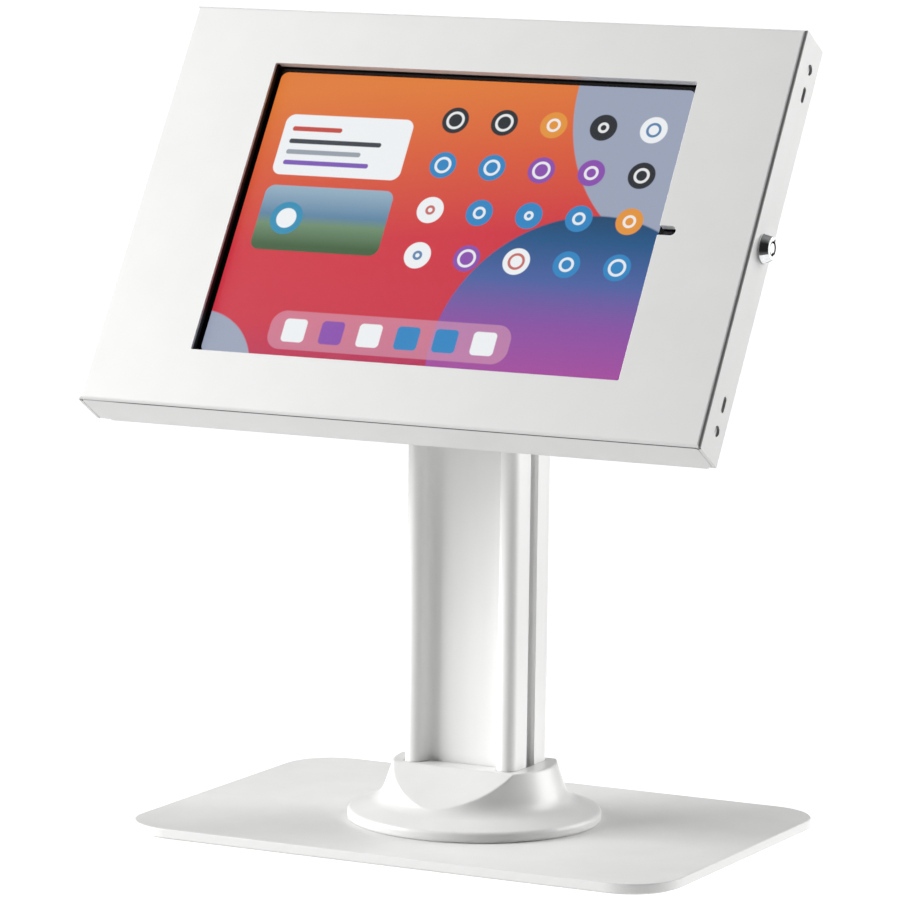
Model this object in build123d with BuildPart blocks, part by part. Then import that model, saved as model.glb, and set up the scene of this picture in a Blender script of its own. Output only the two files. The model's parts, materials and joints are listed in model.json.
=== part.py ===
from build123d import *
from math import atan2, cos, degrees, radians, sin, tan
import os

os.makedirs("parts", exist_ok=True)

# Driving dimensions of the stand, in millimetres and degrees
base_width = 300.0
base_depth = 208.0
base_thickness = 4.5
base_corner = 28.0
base_edge_round = 0.8
mat_thickness = 1.5
mat_inset = 4.0

column_width = 62.0
column_depth = 42.0
column_length = 256.0
rail_width = 10.3
rail_round = 5.1
channel_depth = 9.5
channel_wall = 3.0
channel_round = 3.0
slot_mouth = 8.8
slot_lip = 2.0
slot_inner_width = 15.0
slot_inner_depth = 5.0
duct_side_wall = 12.0
duct_round = 3.0
port_radius = 2.5
port_inset = 5.2

collar_top_margin = 10.4
collar_waist_spread = 6.2
collar_rim_spread = 16.7
collar_rim_height = 3.0
collar_rim_round = 2.0
collar_foot_round = 1.2
collar_waist_height = 11.4
collar_height = 29.5
collar_wall = 2.5
collar_top_round = 0.8
collar_fillet = 12.0
facet_top_margin = 3.0
facet_foot_run = 28.2
facet_blend = 6.0
facet_angle = 34.9
column_gap = 0.3

pivot_rise = 22.0
panel_tilt = 31.7
pivot_to_panel = 35.4

# Driving dimensions of the tablet and of the enclosure round it, seen square to its face
tablet_length = 247.6
tablet_width = 178.5
screen_side_margin = 9.0
screen_edge_margin = 10.05
hinge_side_space = 48.15
lock_side_space = 42.95
edge_space = 22.5
cover_depth = 23.0
sheet = 1.5
bend_radius = 2.0
seam = 0.3
relief_radius = 0.9
inner_bend = 0.5
window_side_reveal = 1.8
window_edge_reveal = 1.35
window_round = 0.8
camera_slot_height = 5.0
camera_slot_length = 9.1
camera_slot_drop = 0.3
mouth_round = 0.7
wall_hole_radius = 2.7
wall_hole_inset = 14.95
wall_slot_length = 8.3
wall_slot_width = 3.3
wall_slot_inset = 28.75
wall_hole_depth = 9.2
liner_thickness = 3.1
liner_margin = 15.0

plate_left_inset = 7.7
plate_right_inset = 4.4
plate_flange_height = 8.0
plate_flange_start = 16.0
plate_flange_inset = 7.75

# Fits and cutting allowance
overrun = 2.0
running_gap = 0.05
loose_gap = 0.3

# Values worked out from the driving dimensions
base_top = mat_thickness + base_thickness
column_top = base_top + column_length
pivot_height = column_top + pivot_rise
mat_corner = base_corner - mat_inset
channel_width = column_width - 2 * rail_width
duct_width = column_width - 2 * duct_side_wall
duct_depth = column_depth - 2 * channel_depth - 2 * channel_wall
collar_top_radius = column_width / 2 + collar_top_margin
collar_waist_radius = collar_top_radius + collar_waist_spread
collar_radius = collar_waist_radius + collar_rim_spread
facet_top_reach = column_depth / 2 + facet_top_margin
facet_foot_reach = facet_top_reach + facet_foot_run
display_length = tablet_length - 2 * screen_side_margin
display_width = tablet_width - 2 * screen_edge_margin
cover_width = hinge_side_space + tablet_length + lock_side_space
cover_height = tablet_width + 2 * edge_space
window_shift = (hinge_side_space - lock_side_space) / 2
window_width = display_length + 2 * window_side_reveal
window_height = display_width + 2 * window_edge_reveal
camera_slot_end = window_shift + window_width / 2 + camera_slot_length
wall_hole_reach = cover_height / 2 - wall_hole_inset
wall_slot_reach = cover_height / 2 - wall_slot_inset
plate_flange_end = cover_height / 2 - plate_flange_inset
tilt = radians(panel_tilt)
panel_normal = Vector(0, -cos(tilt), sin(tilt))
pivot = Vector(0, 0, pivot_height)
panel_origin = pivot + panel_normal * pivot_to_panel
panel = Plane(origin=panel_origin, x_dir=(1, 0, 0), z_dir=panel_normal)
panel_up = panel.y_dir
panel_axis = Axis(panel_origin, panel_normal)
wall = Plane(origin=panel_origin, x_dir=panel_up, z_dir=(1, 0, 0))
section = Plane(origin=panel_origin, x_dir=(1, 0, 0), z_dir=-panel_up)
upright = Plane(origin=(0, 0, 0), x_dir=(0, 1, 0), z_dir=(1, 0, 0))
port_x = column_width / 2 - port_inset
port_y = column_depth / 2 - port_inset
inner_face = cover_depth - sheet

# Rubber mat under the base plate
with BuildPart() as base_mat:
    with BuildSketch(Plane.XY):
        RectangleRounded(base_width - 2 * mat_inset, base_depth - 2 * mat_inset, mat_corner)
    extrude(amount=mat_thickness)
base_mat.part.label = "base_mat"
export_step(base_mat.part, "parts/base_mat.step")

# Screws that hold the column to the base plate
screw_radius = port_radius - running_gap
screw_head_radius = 5.0
screw_head_height = 2.5
base_screw_reach = 20.0

# Base plate with four countersunk holes from below
with BuildPart() as base_plate:
    with BuildSketch(Plane.XY.offset(mat_thickness)):
        RectangleRounded(base_width, base_depth, base_corner)
    extrude(amount=base_thickness)
    fillet(base_plate.faces().sort_by(Axis.Z)[-1].edges(), radius=base_edge_round)
    with Locations(Plane.XY.offset(mat_thickness).rotated((180, 0, 0))):
        with GridLocations(2 * port_x, 2 * port_y, 2, 2):
            CounterSinkHole(
                radius=port_radius,
                counter_sink_radius=screw_head_radius + running_gap,
                depth=base_thickness,
                counter_sink_angle=90,
            )
base_plate.part.label = "base_plate"
export_step(base_plate.part, "parts/base_plate.step")

with BuildPart() as base_screws:
    with BuildSketch(Plane.XY.offset(mat_thickness)):
        with GridLocations(2 * port_x, 2 * port_y, 2, 2):
            Circle(screw_head_radius)
    extrude(amount=screw_head_height, taper=45)
    with BuildSketch(Plane.XY.offset(mat_thickness)):
        with GridLocations(2 * port_x, 2 * port_y, 2, 2):
            Circle(screw_radius)
    extrude(amount=base_thickness + base_screw_reach)
base_screws.part.label = "base_screws"
export_step(base_screws.part, "parts/base_screws.step")

# Column outline, shared by the column and by the openings that go round it
with BuildSketch() as column_outline:
    RectangleRounded(column_width, column_depth, rail_round)
    for side in (-1, 1):
        with Locations((0, side * (column_depth - channel_depth + overrun) / 2)):
            Rectangle(channel_width, channel_depth + overrun, mode=Mode.SUBTRACT)
    reach = channel_width / 2 + rail_round / 2
    nose_y = column_depth / 2 - rail_round / 2
    nose_points = column_outline.vertices().filter_by(lambda v: abs(v.X) < reach and abs(v.Y) > nose_y)
    fillet(nose_points, radius=rail_round - running_gap)
    floor_y = column_depth / 2 - channel_depth
    inner_points = column_outline.vertices().filter_by(
        lambda v: abs(v.X) < reach and abs(abs(v.Y) - floor_y) < running_gap
    )
    fillet(inner_points, radius=channel_round)

with BuildPart() as column:
    with BuildSketch(Plane.XY.offset(base_top)):
        add(column_outline.sketch)
        for side in (-1, 1):
            with Locations((side * (column_width - slot_lip) / 2, 0)):
                Rectangle(slot_lip, slot_mouth, mode=Mode.SUBTRACT)
            with Locations((side * (column_width / 2 - slot_lip - slot_inner_depth / 2), 0)):
                Rectangle(slot_inner_depth, slot_inner_width, mode=Mode.SUBTRACT)
        RectangleRounded(duct_width, duct_depth, duct_round, mode=Mode.SUBTRACT)
        with GridLocations(2 * port_x, 2 * port_y, 2, 2):
            Circle(port_radius, mode=Mode.SUBTRACT)
    extrude(amount=column_length)
column.part.label = "column"
export_step(column.part, "parts/column.step")

# Flared collar around the foot of the column, a hollow moulding with a flat facet front and back
facet_foot = base_top + collar_height - (facet_foot_reach - facet_top_reach) * tan(radians(facet_angle))
with BuildPart() as base_collar:
    with BuildSketch(Plane.XZ) as collar_section:
        with BuildLine():
            Polyline(
                (0, base_top),
                (collar_radius, base_top),
                (collar_radius, base_top + collar_rim_height + collar_rim_round),
                (collar_waist_radius, base_top + collar_waist_height),
                (collar_top_radius, base_top + collar_height),
                (0, base_top + collar_height),
                close=True,
            )
        make_face()
        waist_point = (collar_waist_radius, base_top + collar_waist_height, 0)
        waist = collar_section.vertices().sort_by_distance(waist_point)[0]
        fillet(waist, radius=collar_fillet)
        rim_point = (collar_radius, base_top + collar_rim_height + collar_rim_round, 0)
        rim = collar_section.vertices().sort_by_distance(rim_point)[0]
        fillet(rim, radius=collar_rim_round)
        foot_rim = collar_section.vertices().sort_by_distance((collar_radius, base_top, 0))[0]
        fillet(foot_rim, radius=collar_foot_round)
    revolve(axis=Axis.Z)
    for side in (-1, 1):
        with BuildSketch(upright):
            with BuildLine():
                Polyline(
                    (side * facet_top_reach, base_top + collar_height + overrun),
                    (side * facet_top_reach, base_top + collar_height),
                    (side * facet_foot_reach, facet_foot),
                    (side * (collar_radius + overrun), facet_foot),
                    (side * (collar_radius + overrun), base_top + collar_height + overrun),
                    close=True,
                )
            facet_section = make_face()
            foot = facet_section.vertices().sort_by_distance((side * facet_foot_reach, facet_foot, 0))[0]
            fillet(foot, radius=facet_blend)
        extrude(amount=collar_radius, both=True, mode=Mode.SUBTRACT)
    top_edges = base_collar.faces().filter_by(Axis.Z).sort_by(Axis.Z)[-1].edges()
    fillet(top_edges, radius=collar_top_round)
    with BuildSketch(Plane.XZ):
        with BuildLine():
            Polyline(
                (0, base_top - overrun),
                (collar_radius - collar_wall, base_top - overrun),
                (collar_radius - collar_wall, base_top + collar_rim_height),
                (collar_waist_radius - collar_wall, base_top + collar_waist_height - collar_wall),
                (0, base_top + collar_waist_height - collar_wall),
                close=True,
            )
        make_face()
    revolve(axis=Axis.Z, mode=Mode.SUBTRACT)
    with BuildSketch(Plane.XY.offset(base_top)):
        offset(column_outline.sketch, amount=column_gap)
    extrude(amount=collar_height + overrun, mode=Mode.SUBTRACT)
base_collar.part.label = "base_collar"
export_step(base_collar.part, "parts/base_collar.step")

# Tilt pivot: sizes of the yoke, the bracket's ears and the bolt between them
yoke_base = 4.0
ear_radius = 12.0
ear_thickness = 4.0
inner_ear_face = 12.5
friction_washer_thickness = 0.8
pivot_radius = 4.0
washer_radius = 8.0
washer_thickness = 1.6
bolt_head_radius = 6.5
bolt_head_height = 8.0
socket_across = 6.0
socket_depth = 4.0
nut_across = 13.0
nut_height = 8.0
bolt_end_reach = 1.5
yoke_opening_length = 20.0
yoke_opening_width = 14.0
yoke_opening_round = 3.0
yoke_screw_head = 4.6
yoke_screw_head_height = 3.0
yoke_screw_reach = 18.0
outer_ear_face = inner_ear_face + ear_thickness + friction_washer_thickness
pivot_local = (0, pivot_height)

# Yoke on the column's top
with BuildPart() as head_yoke:
    with BuildSketch(Plane.XY.offset(column_top)):
        RectangleRounded(column_width, column_depth, rail_round)
        with GridLocations(2 * port_x, 2 * port_y, 2, 2):
            Circle(port_radius, mode=Mode.SUBTRACT)
        RectangleRounded(yoke_opening_length, yoke_opening_width, yoke_opening_round, mode=Mode.SUBTRACT)
    extrude(amount=yoke_base)
    for start in (outer_ear_face, -outer_ear_face - ear_thickness):
        with BuildSketch(upright.offset(start)):
            with Locations(pivot_local):
                Circle(ear_radius)
            with Locations((0, column_top + yoke_base / 2)):
                Rectangle(2 * ear_radius, yoke_base)
            make_hull()
            with Locations(pivot_local):
                Circle(pivot_radius + running_gap, mode=Mode.SUBTRACT)
        extrude(amount=ear_thickness)
head_yoke.part.label = "head_yoke"
export_step(head_yoke.part, "parts/head_yoke.step")

with BuildPart() as yoke_screws:
    with BuildSketch(Plane.XY.offset(column_top + yoke_base)):
        with GridLocations(2 * port_x, 2 * port_y, 2, 2):
            Circle(yoke_screw_head)
    extrude(amount=yoke_screw_head_height)
    fillet(yoke_screws.faces().sort_by(Axis.Z)[-4:].edges(), radius=yoke_screw_head_height / 3)
    with BuildSketch(Plane.XY.offset(column_top + yoke_base)):
        with GridLocations(2 * port_x, 2 * port_y, 2, 2):
            Circle(screw_radius)
    extrude(amount=-yoke_base - yoke_screw_reach)
yoke_screws.part.label = "yoke_screws"
export_step(yoke_screws.part, "parts/yoke_screws.step")

# Pivot bolt with its nut, washers and spacer
stack_face = outer_ear_face + ear_thickness + washer_thickness
with BuildPart() as pivot_bolt:
    with BuildSketch(upright.offset(-stack_face)):
        with Locations(pivot_local):
            Circle(bolt_head_radius)
    extrude(amount=-bolt_head_height)
    fillet(pivot_bolt.faces().sort_by(Axis.X)[0].edges(), radius=bolt_head_height / 8)
    with BuildSketch(upright.offset(-stack_face - bolt_head_height)):
        with Locations(pivot_local):
            RegularPolygon(radius=socket_across / 2, side_count=6, major_radius=False)
    extrude(amount=socket_depth, mode=Mode.SUBTRACT)
    with BuildSketch(upright.offset(-stack_face)):
        with Locations(pivot_local):
            Circle(pivot_radius)
    extrude(amount=2 * stack_face + nut_height + bolt_end_reach)
pivot_bolt.part.label = "pivot_bolt"
export_step(pivot_bolt.part, "parts/pivot_bolt.step")

with BuildPart() as pivot_nut:
    with BuildSketch(upright.offset(stack_face)):
        with Locations(pivot_local):
            RegularPolygon(radius=nut_across / 2, side_count=6, major_radius=False)
            Circle(pivot_radius + running_gap, mode=Mode.SUBTRACT)
    extrude(amount=nut_height)
pivot_nut.part.label = "pivot_nut"
export_step(pivot_nut.part, "parts/pivot_nut.step")

with BuildPart() as pivot_washers:
    for start in (stack_face - washer_thickness, -stack_face):
        with BuildSketch(upright.offset(start)):
            with Locations(pivot_local):
                Circle(washer_radius)
                Circle(pivot_radius + running_gap, mode=Mode.SUBTRACT)
        extrude(amount=washer_thickness)
pivot_washers.part.label = "pivot_washers"
export_step(pivot_washers.part, "parts/pivot_washers.step")

with BuildPart() as friction_washers:
    for start in (inner_ear_face + ear_thickness, -outer_ear_face):
        with BuildSketch(upright.offset(start)):
            with Locations(pivot_local):
                Circle(ear_radius - running_gap)
                Circle(pivot_radius + running_gap, mode=Mode.SUBTRACT)
        extrude(amount=friction_washer_thickness)
friction_washers.part.label = "friction_washers"
export_step(friction_washers.part, "parts/friction_washers.step")

spacer_radius = 6.5
with BuildPart() as pivot_spacer:
    with BuildSketch(upright.offset(-inner_ear_face)):
        with Locations(pivot_local):
            Circle(spacer_radius)
            Circle(pivot_radius + running_gap, mode=Mode.SUBTRACT)
    extrude(amount=2 * inner_ear_face)
pivot_spacer.part.label = "pivot_spacer"
export_step(pivot_spacer.part, "parts/pivot_spacer.step")

# Turntable between the tilting head and the enclosure, counted back from the panel
hub_thickness = 3.0
hub_side = 86.0
hub_corner = 6.0
hub_hole_spacing = 75.0
disc_thickness = 1.5
bracket_thickness = 4.0
bracket_radius = 32.0
bracket_root = 16.0
axle_radius = 4.95
axle_bore = axle_radius + running_gap
axle_head_radius = 10.0
axle_head_height = 2.5
axle_washer_radius = 10.0
axle_washer_thickness = 1.5
axle_nut_across = 17.0
axle_nut_height = 8.0
axle_end_reach = 2.0
stop_pin_radius = 2.0
stop_pin_reach = 26.0
stop_turn = 90.0
stop_play = 0.3
hub_back = sheet + hub_thickness
disc_back = hub_back + disc_thickness
bracket_back = disc_back + bracket_thickness
washer_back = bracket_back + axle_washer_thickness
nut_back = washer_back + axle_nut_height

# Tilting bracket: a round plate with two ears on the pivot bolt
with BuildPart() as tilt_bracket:
    with BuildSketch(panel.offset(-bracket_back)):
        Circle(bracket_radius)
        Circle(axle_bore, mode=Mode.SUBTRACT)
        with Locations((0, stop_pin_reach)):
            Circle(stop_pin_radius + running_gap, mode=Mode.SUBTRACT)
    extrude(amount=bracket_thickness)
    for start in (inner_ear_face, -inner_ear_face - ear_thickness):
        with BuildSketch(wall.offset(start)):
            with Locations((0, -pivot_to_panel)):
                Circle(ear_radius)
            with Locations((0, -bracket_back + bracket_thickness / 4)):
                Rectangle(2 * bracket_root, bracket_thickness / 2)
            make_hull()
            with Locations((0, -pivot_to_panel)):
                Circle(pivot_radius + running_gap, mode=Mode.SUBTRACT)
        extrude(amount=ear_thickness)
tilt_bracket.part.label = "tilt_bracket"
export_step(tilt_bracket.part, "parts/tilt_bracket.step")

with BuildPart() as friction_disc:
    with BuildSketch(panel.offset(-disc_back)):
        Circle(bracket_radius)
        Circle(axle_bore, mode=Mode.SUBTRACT)
        with Locations((0, stop_pin_reach)):
            Circle(stop_pin_radius + running_gap, mode=Mode.SUBTRACT)
    extrude(amount=disc_thickness)
friction_disc.part.label = "friction_disc"
export_step(friction_disc.part, "parts/friction_disc.step")

with BuildPart() as stop_pin:
    with BuildSketch(panel.offset(-bracket_back)):
        with Locations((0, stop_pin_reach)):
            Circle(stop_pin_radius)
    extrude(amount=bracket_thickness + disc_thickness + hub_thickness - stop_play)
stop_pin.part.label = "stop_pin"
export_step(stop_pin.part, "parts/stop_pin.step")

# Hub plate with the curved slot that the stop pin runs in
with BuildPart() as hub_plate:
    with BuildSketch(panel.offset(-hub_back)):
        RectangleRounded(hub_side, hub_side, hub_corner)
        Circle(axle_bore, mode=Mode.SUBTRACT)
        with GridLocations(hub_hole_spacing, hub_hole_spacing, 2, 2):
            Circle(port_radius, mode=Mode.SUBTRACT)
        with BuildLine(mode=Mode.PRIVATE) as stop_path:
            CenterArc((0, 0), stop_pin_reach, 90 - stop_turn, stop_turn)
        SlotArc(stop_path.edges()[0], 2 * (stop_pin_radius + stop_play), mode=Mode.SUBTRACT)
    extrude(amount=hub_thickness)
hub_plate.part.label = "hub_plate"
export_step(hub_plate.part, "parts/hub_plate.step")

hub_screw_head = 4.5
hub_screw_head_height = 2.4
hub_screw_slope = 10
with BuildPart() as hub_screws:
    with BuildSketch(panel):
        with GridLocations(hub_hole_spacing, hub_hole_spacing, 2, 2):
            Circle(hub_screw_head)
    extrude(amount=hub_screw_head_height, taper=hub_screw_slope)
    with BuildSketch(panel):
        with GridLocations(hub_hole_spacing, hub_hole_spacing, 2, 2):
            Circle(screw_radius)
    extrude(amount=-hub_back)
hub_screws.part.label = "hub_screws"
export_step(hub_screws.part, "parts/hub_screws.step")

# Axle of the turntable, its head inside the enclosure
with BuildPart() as rotation_bolt:
    with BuildSketch(panel):
        Circle(axle_head_radius)
    extrude(amount=axle_head_height)
    fillet(rotation_bolt.faces().sort_by(panel_axis)[-1].edges(), radius=axle_head_height / 2)
    with BuildSketch(panel):
        Circle(axle_radius)
    extrude(amount=-nut_back - axle_end_reach)
rotation_bolt.part.label = "rotation_bolt"
export_step(rotation_bolt.part, "parts/rotation_bolt.step")

with BuildPart() as rotation_washer:
    with BuildSketch(panel.offset(-washer_back)):
        Circle(axle_washer_radius)
        Circle(axle_bore, mode=Mode.SUBTRACT)
    extrude(amount=axle_washer_thickness)
rotation_washer.part.label = "rotation_washer"
export_step(rotation_washer.part, "parts/rotation_washer.step")

with BuildPart() as rotation_nut:
    with BuildSketch(panel.offset(-nut_back)):
        RegularPolygon(radius=axle_nut_across / 2, side_count=6, major_radius=False)
        Circle(axle_bore, mode=Mode.SUBTRACT)
    extrude(amount=axle_nut_height)
rotation_nut.part.label = "rotation_nut"
export_step(rotation_nut.part, "parts/rotation_nut.step")

# Tablet held behind the window, its glass just behind the liner
tablet_thickness = 6.1
tablet_corner = 18.0
tablet_wall = 1.0
tablet_floor = 0.9
tablet_edge_round = 0.9
glass_thickness = 0.8
glass_gap = 0.3
lens_radius = 2.6
lens_inset = 4.3
lens_recess = 0.15
display_corner = 4.0
display_thickness = 1.2
display_gap = 0.1
battery_end_gap = 23.8
battery_side_gap = 29.25
battery_thickness = 2.8
battery_round = 2.0
battery_board_gap = 5.0
board_length = 58.0
board_end_gap = 10.8
board_side_gap = 14.25
board_thickness = 1.0
cable_port_length = 9.0
cable_port_width = 3.0
button_length = 10.0
button_width = 2.2
button_proud = 0.5
button_slot_gap = 0.15
button_flange_length = 12.0
button_flange_width = 3.4
button_flange_thickness = 0.6
power_button_inset = 34.25
volume_button_inset = 43.8
volume_button_spacing = 18.0
glass_top = inner_face - liner_thickness - glass_gap
glass_bottom = glass_top - glass_thickness
tablet_back = glass_top - tablet_thickness
tablet_inside = tablet_back + tablet_floor
button_depth = (tablet_back + glass_bottom) / 2
lens_reach = tablet_length / 2 - lens_inset
board_shift = tablet_length / 2 - board_end_gap - board_length / 2
board_width = tablet_width - 2 * board_side_gap
battery_start = battery_end_gap - tablet_length / 2
battery_end = board_shift - board_length / 2 - battery_board_gap
battery_width = tablet_width - 2 * battery_side_gap
power_button_reach = tablet_width / 2 - power_button_inset
volume_up_reach = tablet_length / 2 - volume_button_inset
volume_down_reach = volume_up_reach - volume_button_spacing

# Corner seats that carry the tablet, with their screws and foam pads
seat_side = 30.0
seat_wall = 4.0
seat_round = 3.0
seat_gap = 0.4
seat_rise = 4.5
pad_side = 20.0
pad_round = 3.0
pad_thickness = 1.0
pad_shift = 4.0
seat_screw_radius = 2.0
seat_screw_head = 3.5
seat_screw_head_height = 2.4
seat_bore_depth = 3.2
seat_x = tablet_length / 2 + seat_gap + seat_wall - seat_side / 2
seat_y = tablet_width / 2 + seat_gap + seat_wall - seat_side / 2
seat_floor = tablet_back - pad_thickness
seat_places = [(window_shift + sx * seat_x, sy * seat_y) for sx in (-1, 1) for sy in (-1, 1)]

# Lock: sizes along its axis, counted from the middle of the cover
lock_thread_radius = 5.5
lock_length = 17.5
bezel_radius = 7.4
bezel_face_radius = 5.55
bezel_height = 4.6
bezel_rim = 0.6
keyway_radius = 3.6
keyway_depth = 5.0
key_pin_radius = 2.7
key_pin_recess = 0.3
key_notch_width = 1.3
key_notch_reach = 4.7
plug_front_radius = 3.55
plug_rear_radius = 3.0
plug_step = 5.4
boss_side = 4.2
cam_thickness = 2.0
cam_radius = 4.0
cam_tip_radius = 3.0
cam_reach = 5.2
cam_screw_head = 3.5
cam_screw_head_height = 2.2
cam_screw_radius = 1.5
cam_screw_length = 7.0
lock_nut_across = 14.0
lock_nut_height = 4.0
lock_point = (0, wall_hole_depth)
wall_outside = cover_width / 2
lock_face = wall_outside + bezel_height
lock_rear = wall_outside - lock_length
cam_front = lock_rear - running_gap
cam_back = cam_front - cam_thickness
plug_shoulder = wall_outside - plug_step
keyway_floor = lock_face - keyway_depth

# Hinge, catch and holes: where they sit on the enclosure
hinge_axis_inset = 4.15
hinge_axis_depth = 0.7
knuckle_radius = 2.2
hinge_pin_radius = 1.0
hinge_pin_head = 1.6
hinge_pin_head_height = 0.8
leaf_thickness = 1.0
leaf_clear = 0.4
hinge_length = 140.0
knuckle_count = 5
knuckle_gap = 0.2
fixed_leaf_width = 12.6
cover_leaf_start = 3.2
cover_leaf_height = 15.0
catch_rear_margin = 4.8
catch_front_margin = 0.2
catch_sheet = 1.5
lip_start = 4.5
lip_bottom = 12.8
riser_start = 9.0
catch_foot = 11.0
catch_bend = 1.0
cable_hole_radius = 14.0
cable_hole_inset = 61.65
rear_hole_spacing = 100.0
rear_hole_radius = 2.25

# Steel back plate of the enclosure with its turned edge
plate_left = -cover_width / 2 + plate_left_inset
plate_right = cover_width / 2 - plate_right_inset
cable_hole_x = plate_left + cable_hole_inset
with BuildPart() as back_plate:
    with BuildSketch(panel.offset(-sheet)):
        with Locations(((plate_left + plate_right) / 2, 0)):
            Rectangle(plate_right - plate_left, cover_height)
        Circle(axle_bore, mode=Mode.SUBTRACT)
        with GridLocations(hub_hole_spacing, hub_hole_spacing, 2, 2):
            Circle(port_radius, mode=Mode.SUBTRACT)
        with GridLocations(rear_hole_spacing, rear_hole_spacing, 2, 2):
            Circle(rear_hole_radius, mode=Mode.SUBTRACT)
        with Locations(seat_places):
            Circle(seat_screw_radius + running_gap, mode=Mode.SUBTRACT)
        with Locations((cable_hole_x, 0)):
            Circle(cable_hole_radius, mode=Mode.SUBTRACT)
    extrude(amount=sheet)
    for side in (-1, 1):
        with BuildSketch(panel):
            with Locations((plate_right - sheet / 2, side * (plate_flange_start + plate_flange_end) / 2)):
                Rectangle(sheet, plate_flange_end - plate_flange_start)
        extrude(amount=plate_flange_height)
back_plate.part.label = "back_plate"
export_step(back_plate.part, "parts/back_plate.step")

# Rubber ring in the cable hole
grommet_lip = 2.5
grommet_wall = 3.0
grommet_lip_thickness = 1.5
with BuildPart() as cable_grommet:
    for start, rise, radius in (
        (-sheet - grommet_lip_thickness, grommet_lip_thickness, cable_hole_radius + grommet_lip),
        (-sheet, sheet, cable_hole_radius - running_gap),
        (0, grommet_lip_thickness, cable_hole_radius + grommet_lip),
    ):
        with BuildSketch(panel.offset(start)):
            with Locations((cable_hole_x, 0)):
                Circle(radius)
        extrude(amount=rise)
    with BuildSketch(panel.offset(-sheet - grommet_lip_thickness)):
        with Locations((cable_hole_x, 0)):
            Circle(cable_hole_radius - grommet_wall)
    extrude(amount=sheet + 2 * grommet_lip_thickness, mode=Mode.SUBTRACT)
cable_grommet.part.label = "cable_grommet"
export_step(cable_grommet.part, "parts/cable_grommet.step")

# Concealed hinge: knuckles in turn on the fixed leaf and on the cover's leaf
hinge_x = -cover_width / 2 + hinge_axis_inset
hinge_point = (hinge_x, hinge_axis_depth)
knuckle_pitch = hinge_length / knuckle_count
first_knuckle = (knuckle_gap - hinge_length) / 2
knuckle_starts = [first_knuckle + place * knuckle_pitch for place in range(knuckle_count)]
fixed_leaf_start = hinge_x + knuckle_radius + leaf_clear
with BuildPart() as hinge_fixed_leaf:
    with BuildSketch(section.offset(knuckle_starts[0])):
        with Locations((fixed_leaf_start + fixed_leaf_width / 2, leaf_thickness / 2)):
            Rectangle(fixed_leaf_width, leaf_thickness)
    extrude(amount=hinge_length - knuckle_gap)
    for start in knuckle_starts[0::2]:
        with BuildSketch(section.offset(start)):
            with Locations(hinge_point):
                Circle(knuckle_radius)
            with Locations(((hinge_x + fixed_leaf_start + leaf_thickness) / 2, leaf_thickness / 2)):
                Rectangle(knuckle_radius + leaf_clear + leaf_thickness, leaf_thickness)
        extrude(amount=knuckle_pitch - knuckle_gap)
    with BuildSketch(section.offset(-hinge_length / 2)):
        with Locations(hinge_point):
            Circle(hinge_pin_radius + running_gap)
    extrude(amount=hinge_length, mode=Mode.SUBTRACT)
hinge_fixed_leaf.part.label = "hinge_fixed_leaf"
export_step(hinge_fixed_leaf.part, "parts/hinge_fixed_leaf.step")

wall_inside = cover_width / 2 - sheet
with BuildPart() as hinge_cover_leaf:
    with BuildSketch(section.offset(knuckle_starts[0])):
        with Locations((-wall_inside + leaf_thickness / 2, cover_leaf_start + cover_leaf_height / 2)):
            Rectangle(leaf_thickness, cover_leaf_height)
    extrude(amount=hinge_length - knuckle_gap)
    for start in knuckle_starts[1::2]:
        with BuildSketch(section.offset(start)):
            with Locations(hinge_point):
                Circle(knuckle_radius)
            tab_middle = (hinge_axis_depth + cover_leaf_start + leaf_thickness) / 2
            with Locations((-wall_inside + leaf_thickness / 2, tab_middle)):
                Rectangle(leaf_thickness, cover_leaf_start + leaf_thickness - hinge_axis_depth)
        extrude(amount=knuckle_pitch - knuckle_gap)
    with BuildSketch(section.offset(-hinge_length / 2)):
        with Locations(hinge_point):
            Circle(hinge_pin_radius + running_gap)
    extrude(amount=hinge_length, mode=Mode.SUBTRACT)
hinge_cover_leaf.part.label = "hinge_cover_leaf"
export_step(hinge_cover_leaf.part, "parts/hinge_cover_leaf.step")

with BuildPart() as hinge_pin:
    with BuildSketch(section.offset(-hinge_length / 2 - hinge_pin_head_height)):
        with Locations(hinge_point):
            Circle(hinge_pin_head)
    extrude(amount=hinge_pin_head_height)
    with BuildSketch(section.offset(-hinge_length / 2)):
        with Locations(hinge_point):
            Circle(hinge_pin_radius)
    extrude(amount=hinge_length + hinge_pin_head_height)
hinge_pin.part.label = "hinge_pin"
export_step(hinge_pin.part, "parts/hinge_pin.step")

# Bent steel catch that the lock's cam turns under
riser_middle = riser_start + catch_sheet / 2
catch_start = cam_back - catch_rear_margin
with BuildPart() as catch_bracket:
    with BuildSketch(wall.offset(catch_start)) as catch_section:
        with Locations((riser_start + catch_foot / 2, catch_sheet / 2)):
            Rectangle(catch_foot, catch_sheet)
        with Locations((riser_middle, (lip_bottom + catch_sheet) / 2)):
            Rectangle(catch_sheet, lip_bottom + catch_sheet)
        with Locations(((lip_start + riser_start + catch_sheet) / 2, lip_bottom + catch_sheet / 2)):
            Rectangle(riser_start + catch_sheet - lip_start, catch_sheet)
        foot_bend = catch_section.vertices().sort_by_distance((riser_start, 0, 0))[0]
        fillet(foot_bend, radius=catch_bend)
        lip_bend_point = (riser_start + catch_sheet, lip_bottom + catch_sheet, 0)
        lip_bend = catch_section.vertices().sort_by_distance(lip_bend_point)[0]
        fillet(lip_bend, radius=catch_bend)
    extrude(amount=catch_rear_margin + cam_thickness + catch_front_margin)
catch_bracket.part.label = "catch_bracket"
export_step(catch_bracket.part, "parts/catch_bracket.step")

# Corner seats with counterbored holes
with BuildSketch() as tablet_outline:
    with Locations((window_shift, 0)):
        RectangleRounded(tablet_length, tablet_width, tablet_corner)

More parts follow.
